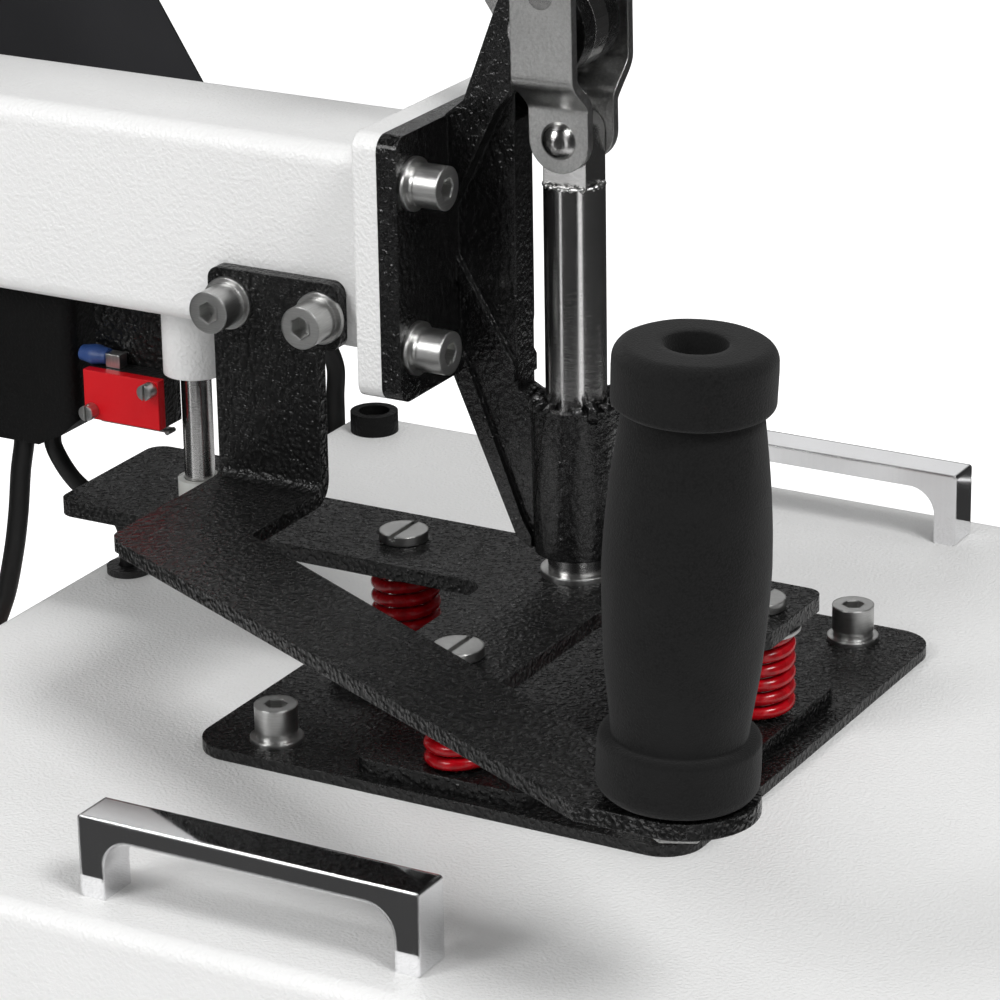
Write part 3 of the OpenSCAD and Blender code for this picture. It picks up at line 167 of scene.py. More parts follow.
def round_section(radius, sides):
    """A circle of so many sides as (u, v) pairs."""
    a = np.linspace(0, 2 * pi, sides, endpoint=False)
    return radius * np.stack([np.cos(a), np.sin(a)], -1)


def turned_about_x(points, degrees):
    """Points turned about the X axis: y' = y cos - z sin, z' = y sin + z cos."""
    c, s = cos(radians(degrees)), sin(radians(degrees))
    turn = np.array([[1, 0, 0], [0, c, -s], [0, s, c]])
    return points @ turn.T


def add_piece(name, shells, body, finish, smooth=True):
    """Makes one mesh object of several (corners, faces) shells, on a body and with a finish."""
    corners, faces, base = [], [], 0
    for points, polygons in shells:
        corners.append(points)
        faces.extend([[index + base for index in polygon] for polygon in polygons])
        base += len(points)
    mesh = bpy.data.meshes.new(name)
    mesh.from_pydata(np.vstack(corners).tolist(), [], faces)
    mesh.polygons.foreach_set("use_smooth", [smooth] * len(mesh.polygons))
    mesh.update()
    piece = bpy.data.objects.new(name, mesh)
    bpy.context.scene.collection.objects.link(piece)
    mesh.materials.append(bpy.data.materials[finish])
    if body:
        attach(piece, body)
    return piece


SHARP_ANGLE = 40


def bevel(piece, width, segments=2):
    """Rounds a piece's edges that are sharper than SHARP_ANGLE degrees by a small width."""
    rounding = piece.modifiers.new("round edges", "BEVEL")
    rounding.width = width
    rounding.segments = segments
    rounding.limit_method = "ANGLE"
    rounding.angle_limit = radians(SHARP_ANGLE)


# Shader node groups


def new_group(name, inputs, outputs):
    """An empty shader group with named inputs (kind, default) and named outputs (kind)."""
    tree = bpy.data.node_groups.new(name, "ShaderNodeTree")
    for label, (kind, default) in inputs.items():
        socket = tree.interface.new_socket(name=label, in_out="INPUT", socket_type=kind)
        if default is not None:
            socket.default_value = default
    for label, kind in outputs.items():
        tree.interface.new_socket(name=label, in_out="OUTPUT", socket_type=kind)
    return tree, tree.nodes.new("NodeGroupInput"), tree.nodes.new("NodeGroupOutput")


def join(tree, value, socket):
    """Links an output to a socket, or sets the socket to a plain value."""
    if isinstance(value, bpy.types.NodeSocket):
        tree.links.new(value, socket)
    else:
        socket.default_value = value


def node(tree, kind, values=None, **inputs):
    """One shader node: values set its properties, inputs join its named sockets or set them.
    Vector math has unnamed sockets, so first and second stand for their places."""
    made = tree.nodes.new(kind)
    for key, value in (values or {}).items():
        setattr(made, key, value)
    for key, value in inputs.items():
        join(tree, value, made.inputs[{"first": 0, "second": 1}.get(key, key)])
    return made


def math_node(tree, operation, a, b=None, c=None):
    """A Math node's result."""
    made = tree.nodes.new("ShaderNodeMath")
    made.operation = operation
    for socket, value in zip(made.inputs, (a, b, c)):
        if value is not None:
            join(tree, value, socket)
    return made.outputs[0]


def seen_rays(tree):
    """One for camera, glossy and transmission rays, and nought for light on the object."""
    ray = tree.nodes.new("ShaderNodeLightPath")
    seen = math_node(tree, "MAXIMUM", ray.outputs["Is Camera Ray"], ray.outputs["Is Glossy Ray"])
    return math_node(tree, "MAXIMUM", seen, ray.outputs["Is Transmission Ray"])


def ramp(tree, value, low_in, high_in, low_out=0.0, high_out=1.0):
    """A value moved smoothly from one range to another and clamped."""
    made = tree.nodes.new("ShaderNodeMapRange")
    made.interpolation_type = "SMOOTHSTEP"
    tree.links.new(value, made.inputs["Value"])
    for label, number in zip(("From Min", "From Max", "To Min", "To Max"),
                             (low_in, high_in, low_out, high_out)):
        made.inputs[label].default_value = number
    return made.outputs[0]


def build_peel_group():
    """Sprayed paint's orange peel: soft rounded bumps, grain of them to the metre."""
    tree, given, result = new_group(
        "Paint peel",
        {"Vector": ("NodeSocketVector", None), "Grain": ("NodeSocketFloat", 700.0),
         "Fine share": ("NodeSocketFloat", 0.3)},
        {"Height": "NodeSocketFloat", "Mottle": "NodeSocketFloat"},
    )
    bumps = node(tree, "ShaderNodeTexNoise", Vector=given.outputs["Vector"],
                 Scale=given.outputs["Grain"], Detail=1.0, Roughness=0.4)
    fine_scale = math_node(tree, "MULTIPLY", given.outputs["Grain"], 2.7)
    fine = node(tree, "ShaderNodeTexNoise", Vector=given.outputs["Vector"], Scale=fine_scale,
                Detail=0.0)
    broad = node(tree, "ShaderNodeTexNoise", Vector=given.outputs["Vector"], Scale=18.0, Detail=2.0)
    fine_part = math_node(tree, "MULTIPLY", fine.outputs[0], given.outputs["Fine share"])
    height = math_node(tree, "ADD", ramp(tree, bumps.outputs[0], 0.3, 0.72), fine_part)
    tree.links.new(height, result.inputs["Height"])
    tree.links.new(broad.outputs[0], result.inputs["Mottle"])


def build_wrinkle_group():
    """Wrinkle coat: small raised cells with folded edges, pulled about by a coarser noise."""
    tree, given, result = new_group(
        "Wrinkle coat",
        {"Vector": ("NodeSocketVector", None), "Cells": ("NodeSocketFloat", 900.0),
         "Pull": ("NodeSocketFloat", 0.0012)},
        {"Height": "NodeSocketFloat", "Hollows": "NodeSocketFloat"},
    )
    drift = node(tree, "ShaderNodeTexNoise", Vector=given.outputs["Vector"], Scale=420.0,
                 Detail=2.0)
    shift = node(tree, "ShaderNodeVectorMath", {"operation": "SCALE"}, first=drift.outputs["Color"],
                 Scale=given.outputs["Pull"])
    place = node(tree, "ShaderNodeVectorMath", {"operation": "ADD"}, first=given.outputs["Vector"],
                 second=shift.outputs[0])
    cells = node(tree, "ShaderNodeTexVoronoi", {"feature": "SMOOTH_F1"}, Vector=place.outputs[0],
                 Scale=given.outputs["Cells"])
    folds = node(tree, "ShaderNodeTexNoise", Vector=place.outputs[0], Scale=1300.0, Detail=2.0)
    lumps = ramp(tree, cells.outputs["Distance"], 0.05, 0.75, 1.0, 0.0)
    height = math_node(tree, "MULTIPLY_ADD", folds.outputs[0], 0.55, lumps)
    tree.links.new(height, result.inputs["Height"])
    tree.links.new(ramp(tree, height, 0.45, 1.1), result.inputs["Hollows"])


def build_edge_group():
    """Worn edges: where a rounded normal leaves the face's own, broken up by a noise."""
    tree, given, result = new_group(
        "Worn edges",
        {"Vector": ("NodeSocketVector", None), "Rounded": ("NodeSocketVector", None),
         "Break up": ("NodeSocketFloat", 160.0)},
        {"Mask": "NodeSocketFloat"},
    )
    shape = tree.nodes.new("ShaderNodeNewGeometry")
    along = node(tree, "ShaderNodeVectorMath", {"operation": "DOT_PRODUCT"},
                 first=given.outputs["Rounded"], second=shape.outputs["Normal"])
    chips = node(tree, "ShaderNodeTexNoise", Vector=given.outputs["Vector"],
                 Scale=given.outputs["Break up"], Detail=3.0)
    edge = ramp(tree, along.outputs["Value"], 0.985, 0.90)
    broken = ramp(tree, chips.outputs[0], 0.45, 0.62)
    tree.links.new(math_node(tree, "MULTIPLY", edge, broken), result.inputs["Mask"])


def build_handling_group():
    """Handling marks: broad soft smears that change the gloss."""
    tree, given, result = new_group(
        "Handling marks",
        {"Vector": ("NodeSocketVector", None), "Spread": ("NodeSocketFloat", 28.0)},
        {"Smears": "NodeSocketFloat"},
    )
    broad = node(tree, "ShaderNodeTexNoise", Vector=given.outputs["Vector"],
                 Scale=given.outputs["Spread"], Detail=4.0, Roughness=0.6)
    tree.links.new(ramp(tree, broad.outputs[0], 0.35, 0.7), result.inputs["Smears"])


def build_machined_group():
    """Machining marks: noise drawn out along the turned or brushed way."""
    tree, given, result = new_group(
        "Machining marks",
        {"Vector": ("NodeSocketVector", None), "Stretch": ("NodeSocketVector", (1.0, 1.0, 40.0)),
         "Marks": ("NodeSocketFloat", 260.0)},
        {"Height": "NodeSocketFloat", "Streaks": "NodeSocketFloat"},
    )
    drawn = node(tree, "ShaderNodeVectorMath", {"operation": "MULTIPLY"},
                 first=given.outputs["Vector"], second=given.outputs["Stretch"])
    marks = node(tree, "ShaderNodeTexNoise", Vector=drawn.outputs[0], Scale=given.outputs["Marks"],
                 Detail=3.0, Roughness=0.65)
    tree.links.new(marks.outputs[0], result.inputs["Height"])
    tree.links.new(ramp(tree, marks.outputs[0], 0.3, 0.75), result.inputs["Streaks"])


def build_cast_group():
    """Rough metal of a casting: lumps of two sizes with pits between them."""
    tree, given, result = new_group(
        "Cast lumps",
        {"Vector": ("NodeSocketVector", None), "Lumps": ("NodeSocketFloat", 380.0)},
        {"Height": "NodeSocketFloat", "Pits": "NodeSocketFloat"},
    )
    big = node(tree, "ShaderNodeTexNoise", Vector=given.outputs["Vector"],
               Scale=given.outputs["Lumps"], Detail=3.0, Roughness=0.6)
    small = node(tree, "ShaderNodeTexVoronoi", {"feature": "SMOOTH_F1"},
                 Vector=given.outputs["Vector"], Scale=620.0)
    height = math_node(tree, "MULTIPLY_ADD", small.outputs["Distance"], -0.35, big.outputs[0])
    tree.links.new(height, result.inputs["Height"])
    tree.links.new(ramp(tree, small.outputs["Distance"], 0.5, 0.9), result.inputs["Pits"])


def place_group(tree, name, **inputs):
    """Places a shared group in a material."""
    made = tree.nodes.new("ShaderNodeGroup")
    made.node_tree = bpy.data.node_groups[name]
    for key, value in inputs.items():
        join(tree, value, made.inputs[key.replace("_", " ")])
    return made


# Finishes


def start_finish(name, **plain):
    """A material, of that slot if the frame has it, with one Principled shader. Plain values go
    on the shader's own sockets."""
    material = bpy.data.materials.get(name) or bpy.data.materials.new(name)
    material.use_nodes = True
    tree = material.node_tree
    tree.nodes.clear()
    shader = tree.nodes.new("ShaderNodeBsdfPrincipled")
    output = tree.nodes.new("ShaderNodeOutputMaterial")
    tree.links.new(shader.outputs[0], output.inputs["Surface"])
    for key, value in plain.items():
        shader.inputs[key.replace("_", " ")].default_value = value
    place = tree.nodes.new("ShaderNodeTexCoord").outputs["Object"]
    return tree, shader, place


# Places of a Mix node's colour sockets: the two that go in and the one that comes out
MIX_COLOURS, MIX_RESULT = (6, 7), 2


def tint(tree, mask, first, second):
    """A colour that goes from the first to the second by a mask."""
    made = tree.nodes.new("ShaderNodeMix")
    made.data_type = "RGBA"
    tree.links.new(mask, made.inputs[0])
    for place, colour in zip(MIX_COLOURS, (first, second)):
        plain = not isinstance(colour, bpy.types.NodeSocket)
        join(tree, (*colour[:3], 1.0) if plain else colour, made.inputs[place])
    return made.outputs[MIX_RESULT]


def shade(colour, factor, lift=0.0):
    """A colour with each channel multiplied and lifted, and held at one."""
    return [min(1, channel * factor + lift) for channel in colour[:3]]


def colour_by(tree, shader, mask, first, second):
    """Feeds the base colour, from the first to the second by a mask."""
    tree.links.new(tint(tree, mask, first, second), shader.inputs["Base Color"])


def roughness_by(tree, shader, mask, first, second):
    """Feeds the roughness, from the first to the second by a mask."""
    tree.links.new(ramp(tree, mask, 0, 1, first, second), shader.inputs["Roughness"])


EDGE_SAMPLES = 4
# How much rougher handling leaves paint and plastic, and a casting; colour of a rubbed edge
HANDLED_DULL, CAST_DULL, WORN_GREY = 0.08, 0.12, (0.05, 0.05, 0.05)


def soften(tree, radius):
    """A normal that is rounded over a sharp edge by so many metres."""
    made = tree.nodes.new("ShaderNodeBevel")
    made.samples = EDGE_SAMPLES
    made.inputs["Radius"].default_value = radius
    return made.outputs[0]


def bump(tree, shader, height, depth, under=None):
    """Raises a height by a depth in metres and feeds the shader's normal."""
    made = tree.nodes.new("ShaderNodeBump")
    made.inputs["Distance"].default_value = depth
    tree.links.new(height, made.inputs["Height"])
    if under is not None:
        tree.links.new(under, made.inputs["Normal"])
    tree.links.new(made.outputs[0], shader.inputs["Normal"])


def sprayed_paint(name, colour, grain, depth, roughness):
    """White powder coat with orange peel and faint mottling."""
    tree, shader, place = start_finish(name)
    peel = place_group(tree, "Paint peel", Vector=place, Grain=grain)
    marks = place_group(tree, "Handling marks", Vector=place)
    colour_by(tree, shader, peel.outputs["Mottle"], colour, shade(colour, 0.94))
    roughness_by(tree, shader, marks.outputs["Smears"], roughness, roughness + HANDLED_DULL)
    bump(tree, shader, peel.outputs["Height"], depth, soften(tree, radius=0.0007))


def wrinkle_paint(name, colour, cells, depth, roughness):
    """Black wrinkle coat, a little worn along its edges."""
    tree, shader, place = start_finish(name, Specular_IOR_Level=0.35)
    wrinkle = place_group(tree, "Wrinkle coat", Vector=place, Cells=cells)
    rounded = soften(tree, radius=0.0006)
    worn = place_group(tree, "Worn edges", Vector=place, Rounded=rounded)
    coat = tint(tree, wrinkle.outputs["Hollows"], colour, shade(colour, 2.4, 0.002))
    colour_by(tree, shader, worn.outputs["Mask"], coat, WORN_GREY)
    roughness_by(tree, shader, wrinkle.outputs["Hollows"], roughness + 0.1, roughness)
    bump(tree, shader, wrinkle.outputs["Height"], depth, rounded)


def cast_paint(name, colour, depth, roughness):
    """Thick gloss black over a rough casting, with pits and runs."""
    tree, shader, place = start_finish(name, Coat_Weight=0.35, Coat_Roughness=0.12)
    lumps = place_group(tree, "Cast lumps", Vector=place)
    marks = place_group(tree, "Handling marks", Vector=place)
    colour_by(tree, shader, lumps.outputs["Pits"], colour, shade(colour, 2.0, 0.004))
    roughness_by(tree, shader, marks.outputs["Smears"], roughness, roughness + CAST_DULL)
    bump(tree, shader, lumps.outputs["Height"], depth, soften(tree, radius=0.0008))


def metal(name, colour, roughness, stretch, marks, depth, edge=0.0004, spread=0.1, deep=0.8):
    """Bright metal with machining marks and a gloss that changes with handling."""
    tree, shader, place = start_finish(name, Metallic=1.0)
    drawn = place_group(tree, "Machining marks", Vector=place, Stretch=stretch, Marks=marks)
    touched = place_group(tree, "Handling marks", Vector=place, Spread=60.0)
    colour_by(tree, shader, drawn.outputs["Streaks"], shade(colour, deep), colour)
    mixed = math_node(tree, "MULTIPLY", touched.outputs["Smears"], drawn.outputs["Streaks"])
    roughness_by(tree, shader, mixed, roughness, roughness + spread)
    bump(tree, shader, drawn.outputs["Height"], depth, soften(tree, edge))


def moulded(name, colour, grain, depth, roughness, edge=0.0004, shine=0.5):
    """Moulded plastic or rubber: fine spark-eroded grain and soft edges."""
    tree, shader, place = start_finish(name, Specular_IOR_Level=shine)
    peel = place_group(tree, "Paint peel", Vector=place, Grain=grain, Fine_share=0.6)
    marks = place_group(tree, "Handling marks", Vector=place)
    colour_by(tree, shader, peel.outputs["Mottle"], colour, shade(colour, 1.25, 0.003))
    roughness_by(tree, shader, marks.outputs["Smears"], roughness, roughness + HANDLED_DULL)
    bump(tree, shader, peel.outputs["Height"], depth, soften(tree, edge))


def foam_finish(name, colour):
    """Closed-cell foam: very matt, with open pores and a dusty bloom on its swells."""
    tree, shader, place = start_finish(name, Sheen_Weight=0.08, Sheen_Roughness=0.6,
                                                 Specular_IOR_Level=0.08)
    cells = node(tree, "ShaderNodeTexVoronoi", {"feature": "SMOOTH_F1"}, Vector=place, Scale=1900.0)
    grain = node(tree, "ShaderNodeTexNoise", Vector=place, Scale=2400.0, Detail=2.0)
    marks = place_group(tree, "Handling marks", Vector=place, Spread=45.0)
    height = math_node(tree, "MULTIPLY_ADD", cells.outputs["Distance"], -0.8, grain.outputs[0])
    bloom = shade(colour, 1.8, 0.002)
    dusted = tint(tree, marks.outputs["Smears"], colour, bloom)
    colour_by(tree, shader, ramp(tree, cells.outputs["Distance"], 0.2, 0.75), bloom, dusted)
    roughness_by(tree, shader, grain.outputs[0], 0.85, 1.0)
    bump(tree, shader, height, depth=0.00014)


def enamel_finish(name, colour):
    """Glossy red enamel that gathers darker in the hollows and has small runs."""
    tree, shader, place = start_finish(name, Coat_Weight=0.3, Coat_Roughness=0.06,
                                                 Specular_IOR_Level=0.3)
    runs = node(tree, "ShaderNodeTexNoise", Vector=place, Scale=330.0, Detail=2.0)
    marks = place_group(tree, "Handling marks", Vector=place, Spread=120.0)
    hollows = ramp(tree, runs.outputs[0], 0.3, 0.7)
    colour_by(tree, shader, hollows, shade(colour, 0.62), colour)
    roughness_by(tree, shader, marks.outputs["Smears"], 0.2, 0.34)
    bump(tree, shader, runs.outputs[0], depth=0.00012)


def wool_finish(name, colour):
    """Pressed insulation board: felted fibres, soft and pale."""
    tree, shader, place = start_finish(name)
    fibres = place_group(tree, "Machining marks", Vector=place, Stretch=(1.0, 6.0, 14.0),
                         Marks=420.0)
    colour_by(tree, shader, fibres.outputs["Streaks"], shade(colour, 0.78), colour)
    roughness_by(tree, shader, fibres.outputs["Streaks"], 0.9, 1.0)
    bump(tree, shader, fibres.outputs["Height"], depth=0.0006)


def clear_finish(name, colour):
    """Translucent ring: milky plastic that lets some light through."""
    tree, shader, place = start_finish(name, Transmission_Weight=0.45, IOR=1.46)
    peel = place_group(tree, "Paint peel", Vector=place, Grain=500.0)
    colour_by(tree, shader, peel.outputs["Mottle"], colour, shade(colour, 1.1))
    roughness_by(tree, shader, peel.outputs["Mottle"], 0.22, 0.34)
    bump(tree, shader, peel.outputs["Height"], depth=0.00004,
         under=soften(tree, radius=0.0005))


# Settings


def colour_setting(name, description, default):
    return bpy.props.FloatVectorProperty(
        name=name, description=description, default=default, subtype="COLOR", size=3, min=0, max=1
    )


def length_setting(name, description, default):
    return bpy.props.FloatProperty(
        name=name, description=description, default=default, unit="LENGTH", min=0
    )


def number_setting(name, description, default, subtype="NONE"):
    return bpy.props.FloatProperty(
        name=name, description=description, default=default, subtype=subtype
    )


def angle_setting(name, description, degrees):
    return number_setting(name, description, radians(degrees), "ANGLE")


class StageSettings(bpy.types.PropertyGroup):
    floor: colour_setting("Floor", "Colour of the floor", (0.86, 0.86, 0.86))
    key: number_setting("Key lamp", "Power of the left lamp", 25.0, "POWER")
    fill: number_setting("Fill lamp", "Power of the right lamp", 48.0, "POWER")
    sky: number_setting("Sky", "Strength of the even light", 0.5)
    # The tent and its window show only in reflections: painted dark reflections, and a glowing card
    # as a painted sheen
    tent: length_setting("Tent", "Radius of the dark cloth round the press", 2.8)
    sill: angle_setting("Sill", "Height of the back window's lower edge as an angle", 14.0)
    lintel: angle_setting("Lintel", "Height of the back window's upper edge as an angle", 30.0)
    lens: number_setting("Lens", "Focal length of the camera in millimetres", 153.54)


class FinishSettings(bpy.types.PropertyGroup):
    paint: colour_setting("Paint", "White powder coat", (0.84, 0.84, 0.835))
    wrinkle: colour_setting("Wrinkle coat", "Black wrinkle coat", (0.0035, 0.0035, 0.0035))
    casting: colour_setting("Casting", "Gloss black of the head bracket", (0.003, 0.003, 0.003))
    spring_red: colour_setting("Spring red", "Enamel of the springs", (0.40, 0.001, 0.006))
    switch_red: colour_setting("Switch red", "Red half of the switch", (0.56, 0.001, 0.006))
    foam: colour_setting("Foam", "Foam of the swing handle's grip", (0.003, 0.003, 0.003))
    chrome: colour_setting("Chrome", "Pull handles", (0.86, 0.86, 0.87))
    steel: colour_setting("Steel", "Turned and ground steel", (0.60, 0.595, 0.59))
    plated: colour_setting("Plated steel", "Link plates and lever tube", (0.68, 0.68, 0.67))
    zinc: colour_setting("Zinc", "Zinc-plated screws", (0.62, 0.62, 0.61))


class SpringSettings(bpy.types.PropertyGroup):
    outer: length_setting("Outer diameter", "Over the coil", 21.5 * MM)
    wire: length_setting("Wire", "Diameter of the wire", 3.9 * MM)
    curls: number_setting("Curls", "Curls with the ends", 5.8)


class GripSettings(bpy.types.PropertyGroup):
    collar: length_setting("Collar", "Diameter of the lower collar", 41.6 * MM)
    cap: length_setting("Cap", "Diameter of the upper collar", 40.8 * MM)
    neck: length_setting("Neck", "Diameter beside the collars", 34.8 * MM)
    belly: length_setting("Belly", "Largest diameter of the barrel", 42.0 * MM)
    collar_height: length_setting("Collar height", "Height of both collars", 16.5 * MM)
    bore: length_setting("Bore", "Hole for the rod", 12.4 * MM)
    recess: length_setting("Recess", "Wider hole in the top", 16.0 * MM)
    lean: angle_setting("Lean", "How far the grip leans to the front", 2.5)


class LeadSettings(bpy.types.PropertyGroup):
    thick: length_setting("Mains lead", "Diameter of the power and heater leads", 6.6 * MM)
    thin: length_setting("Sensor lead", "Diameter of the sensor lead", 5.6 * MM)


class LinkSettings(bpy.types.PropertyGroup):
    width: length_setting("Width", "Width of a link plate", 19.8 * MM)
    foot: length_setting("Foot", "Width at the rivet", 19.2 * MM)
    sheet: length_setting("Sheet", "Thickness of a link plate", 3.0 * MM)
    inner: length_setting("Lower gap", "Half the gap at the rivet", 6.3 * MM)
    outer: length_setting("Upper gap", "Half the gap at the knee pin", 15.5 * MM)
    tilt: angle_setting("Tilt", "How far the link leans from upright", 0.555)


class WeldSettings(bpy.types.PropertyGroup):
    bead: length_setting("Bead", "Radius of a weld bead", 1.5 * MM)
    ripple: length_setting("Ripple", "Height of the bead's ripples", 0.3 * MM)
    tongue: length_setting("Shoulder", "From the plunger's top down to its shoulder", 21.8 * MM)
    collar: length_setting("Collar", "Height of the collar's top over its foot", 46.1 * MM)
    plate: length_setting("End plate", "Thickness of the arm's end plate", 8.4 * MM)
    arm_width: length_setting("Arm width", "Width of the arm's tube", 50 * MM)
    arm_height: length_setting("Arm height", "Height of the arm's tube", 62 * MM)
    arm_corner: length_setting("Arm corner", "Corner radius of the arm's tube", 6 * MM)
    arm_below: length_setting("Plate edge", "How far the end plate stands above the arm", 10.0 * MM)


# Pieces


class HEATPRESS_OT_finishes(bpy.types.Operator):
    """Makes every paint, metal, plastic and rubber, and gives each CAD node its own"""

    bl_idname = "heatpress.finishes"
    bl_label = "Paints and metals"

    def execute(self, context):
        given = context.scene.heatpress_finishes
        for build in (build_peel_group, build_wrinkle_group, build_edge_group,
                      build_handling_group, build_machined_group, build_cast_group):
            build()
        # After the name and colour of a paint or moulding come its grain to the metre, the depth
        # of its bump in metres and its roughness
        sprayed_paint("white_paint", given.paint, 900.0, 0.00011, 0.36)
        sprayed_paint("frame_paint", shade(given.paint, 0.95), 520.0, 0.0002, 0.42)
        wrinkle_paint("wrinkle_black", given.wrinkle, 750.0, 0.00032, 0.22)
        cast_paint("cast_black", given.casting, depth=0.0011, roughness=0.14)
        # After the name and colour of a metal come its roughness, how its marks are packed along
        # each axis, their count to the metre and the depth of its bump in metres
        round_way, long_way, no_way = (1.0, 1.0, 30.0), (30.0, 30.0, 1.0), (1.0, 1.0, 1.0)
        metal("zinc_steel", given.zinc, 0.32, round_way, 180.0, 0.00002, edge=0.0009)
        metal("turned_steel", given.steel, 0.15, round_way, 240.0, 0.00003)
        metal("plated_steel", given.plated, 0.30, no_way, 1100.0, 0.00006, spread=0.2, deep=0.75)
        metal("bronze", (0.66, 0.43, 0.20), 0.3, round_way, 200.0, 0.00003)
        metal("chrome", given.chrome, 0.04, long_way, 40.0, 0.000001, edge=0.0012, spread=0.05,
              deep=0.97)
        metal("heater_alloy", (0.60, 0.60, 0.60), 0.38, (40.0, 1.0, 1.0), 220.0, 0.00004)
        metal("tin", (0.80, 0.80, 0.79), 0.28, long_way, 160.0, 0.00003)
        moulded("black_rubber", (0.003, 0.003, 0.003), 900.0, 0.00012, 0.5, shine=0.15)
        moulded("black_plastic", (0.006, 0.006, 0.0062), 900.0, 0.0002, 0.34)
        moulded("panel_plastic", (0.022, 0.022, 0.024), 1500.0, 0.00001, 0.30)
        moulded("key_plastic", (0.16, 0.165, 0.18), 1200.0, 0.00003, 0.45)
        moulded("red_plastic", given.switch_red, 600.0, 0.00004, 0.35, edge=0.0008, shine=0.25)
        moulded("blue_sleeve", (0.02, 0.055, 0.19), 700.0, 0.00004, 0.35)
        moulded("pad_silicone", (0.72, 0.16, 0.03), 420.0, 0.00012, 0.62)
        moulded("cable_rubber", (0.003, 0.003, 0.003), 500.0, 0.00003, 0.40, shine=0.3)
        foam_finish("foam", given.foam)
        enamel_finish("spring_red", given.spring_red)
        wool_finish("wool", (0.72, 0.62, 0.42))
        clear_finish("clear_ring", (0.82, 0.83, 0.80))
        slot_of = {row["node"]: row["material_slot"] for row in frame["record"]["subparts"]}
        for name, piece in frame["nodes"].items():
            piece.data.materials.clear()
            piece.data.materials.append(bpy.data.materials[slot_of[name]])
        return {"FINISHED"}


# Rows of a spring's skin to each curl, sides of its wire, and the share of it ground off an end
CURL_ROWS, WIRE_SIDES, GROUND_SHARE = 56, 18, 0.1


class HEATPRESS_OT_springs(bpy.types.Operator):
    """Winds the four die springs between the seat plate and their washers"""

    bl_idname = "heatpress.springs"
    bl_label = "Die springs"

    def execute(self, context):
        """Centre line: x = R cos 2 pi n, y = R sin 2 pi n, z = s w + (h - 2 s w) n / N for wire w,
        height h, N curls and a small share s; both ends are ground flat where z leaves 0 to h."""
        given = context.scene.heatpress_springs
        foot, top = low("die_springs"), high("die_springs")
        height, radius = top[2] - foot[2], (given.outer - given.wire) / 2
        turn = np.linspace(0, given.curls, int(given.curls * CURL_ROWS))
        sunk = GROUND_SHARE * given.wire
        rise = sunk + turn / given.curls * (height - 2 * sunk)
        a = 2 * pi * turn
        path = np.stack([radius * np.cos(a), radius * np.sin(a), rise], -1)
        out = np.stack([np.cos(a), np.sin(a), 0 * a], -1)
        wire = sweep(path, round_section(given.wire / 2, WIRE_SIDES), -out)
        wire[..., 2] = np.clip(wire[..., 2], 0.0, height)
        x, y = top[0] - given.outer / 2, top[1] - given.outer / 2
        shells = [ring_surface(wire + np.array([*centre, foot[2]]))
                  for centre in ((x, 0), (-x, 0), (0, y), (0, -y))]
        coils = add_piece("wound_springs", shells, "upper_platen", "spring_red")
        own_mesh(coils)
        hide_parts("die_springs")
        return {"FINISHED"}


# Round edges of the grip's collars, their lips over the barrel, and its recess in metres
GRIP_EDGE, GRIP_LIP, RECESS_DEEP, RECESS_SOFT = 4 * MM, 2 * MM, 7 * MM, 0.8 * MM
# Dents of the foam: depth in metres, waves round, turn to the metre of height, and start; they
# are scaled by the grip's mean radius
DENTS = ((0.12 * MM, 3, 90, 0.0), (0.10 * MM, 5, -150, 1.1))
MEAN_RADIUS = 20 * MM
GRIP_SIDES = 120


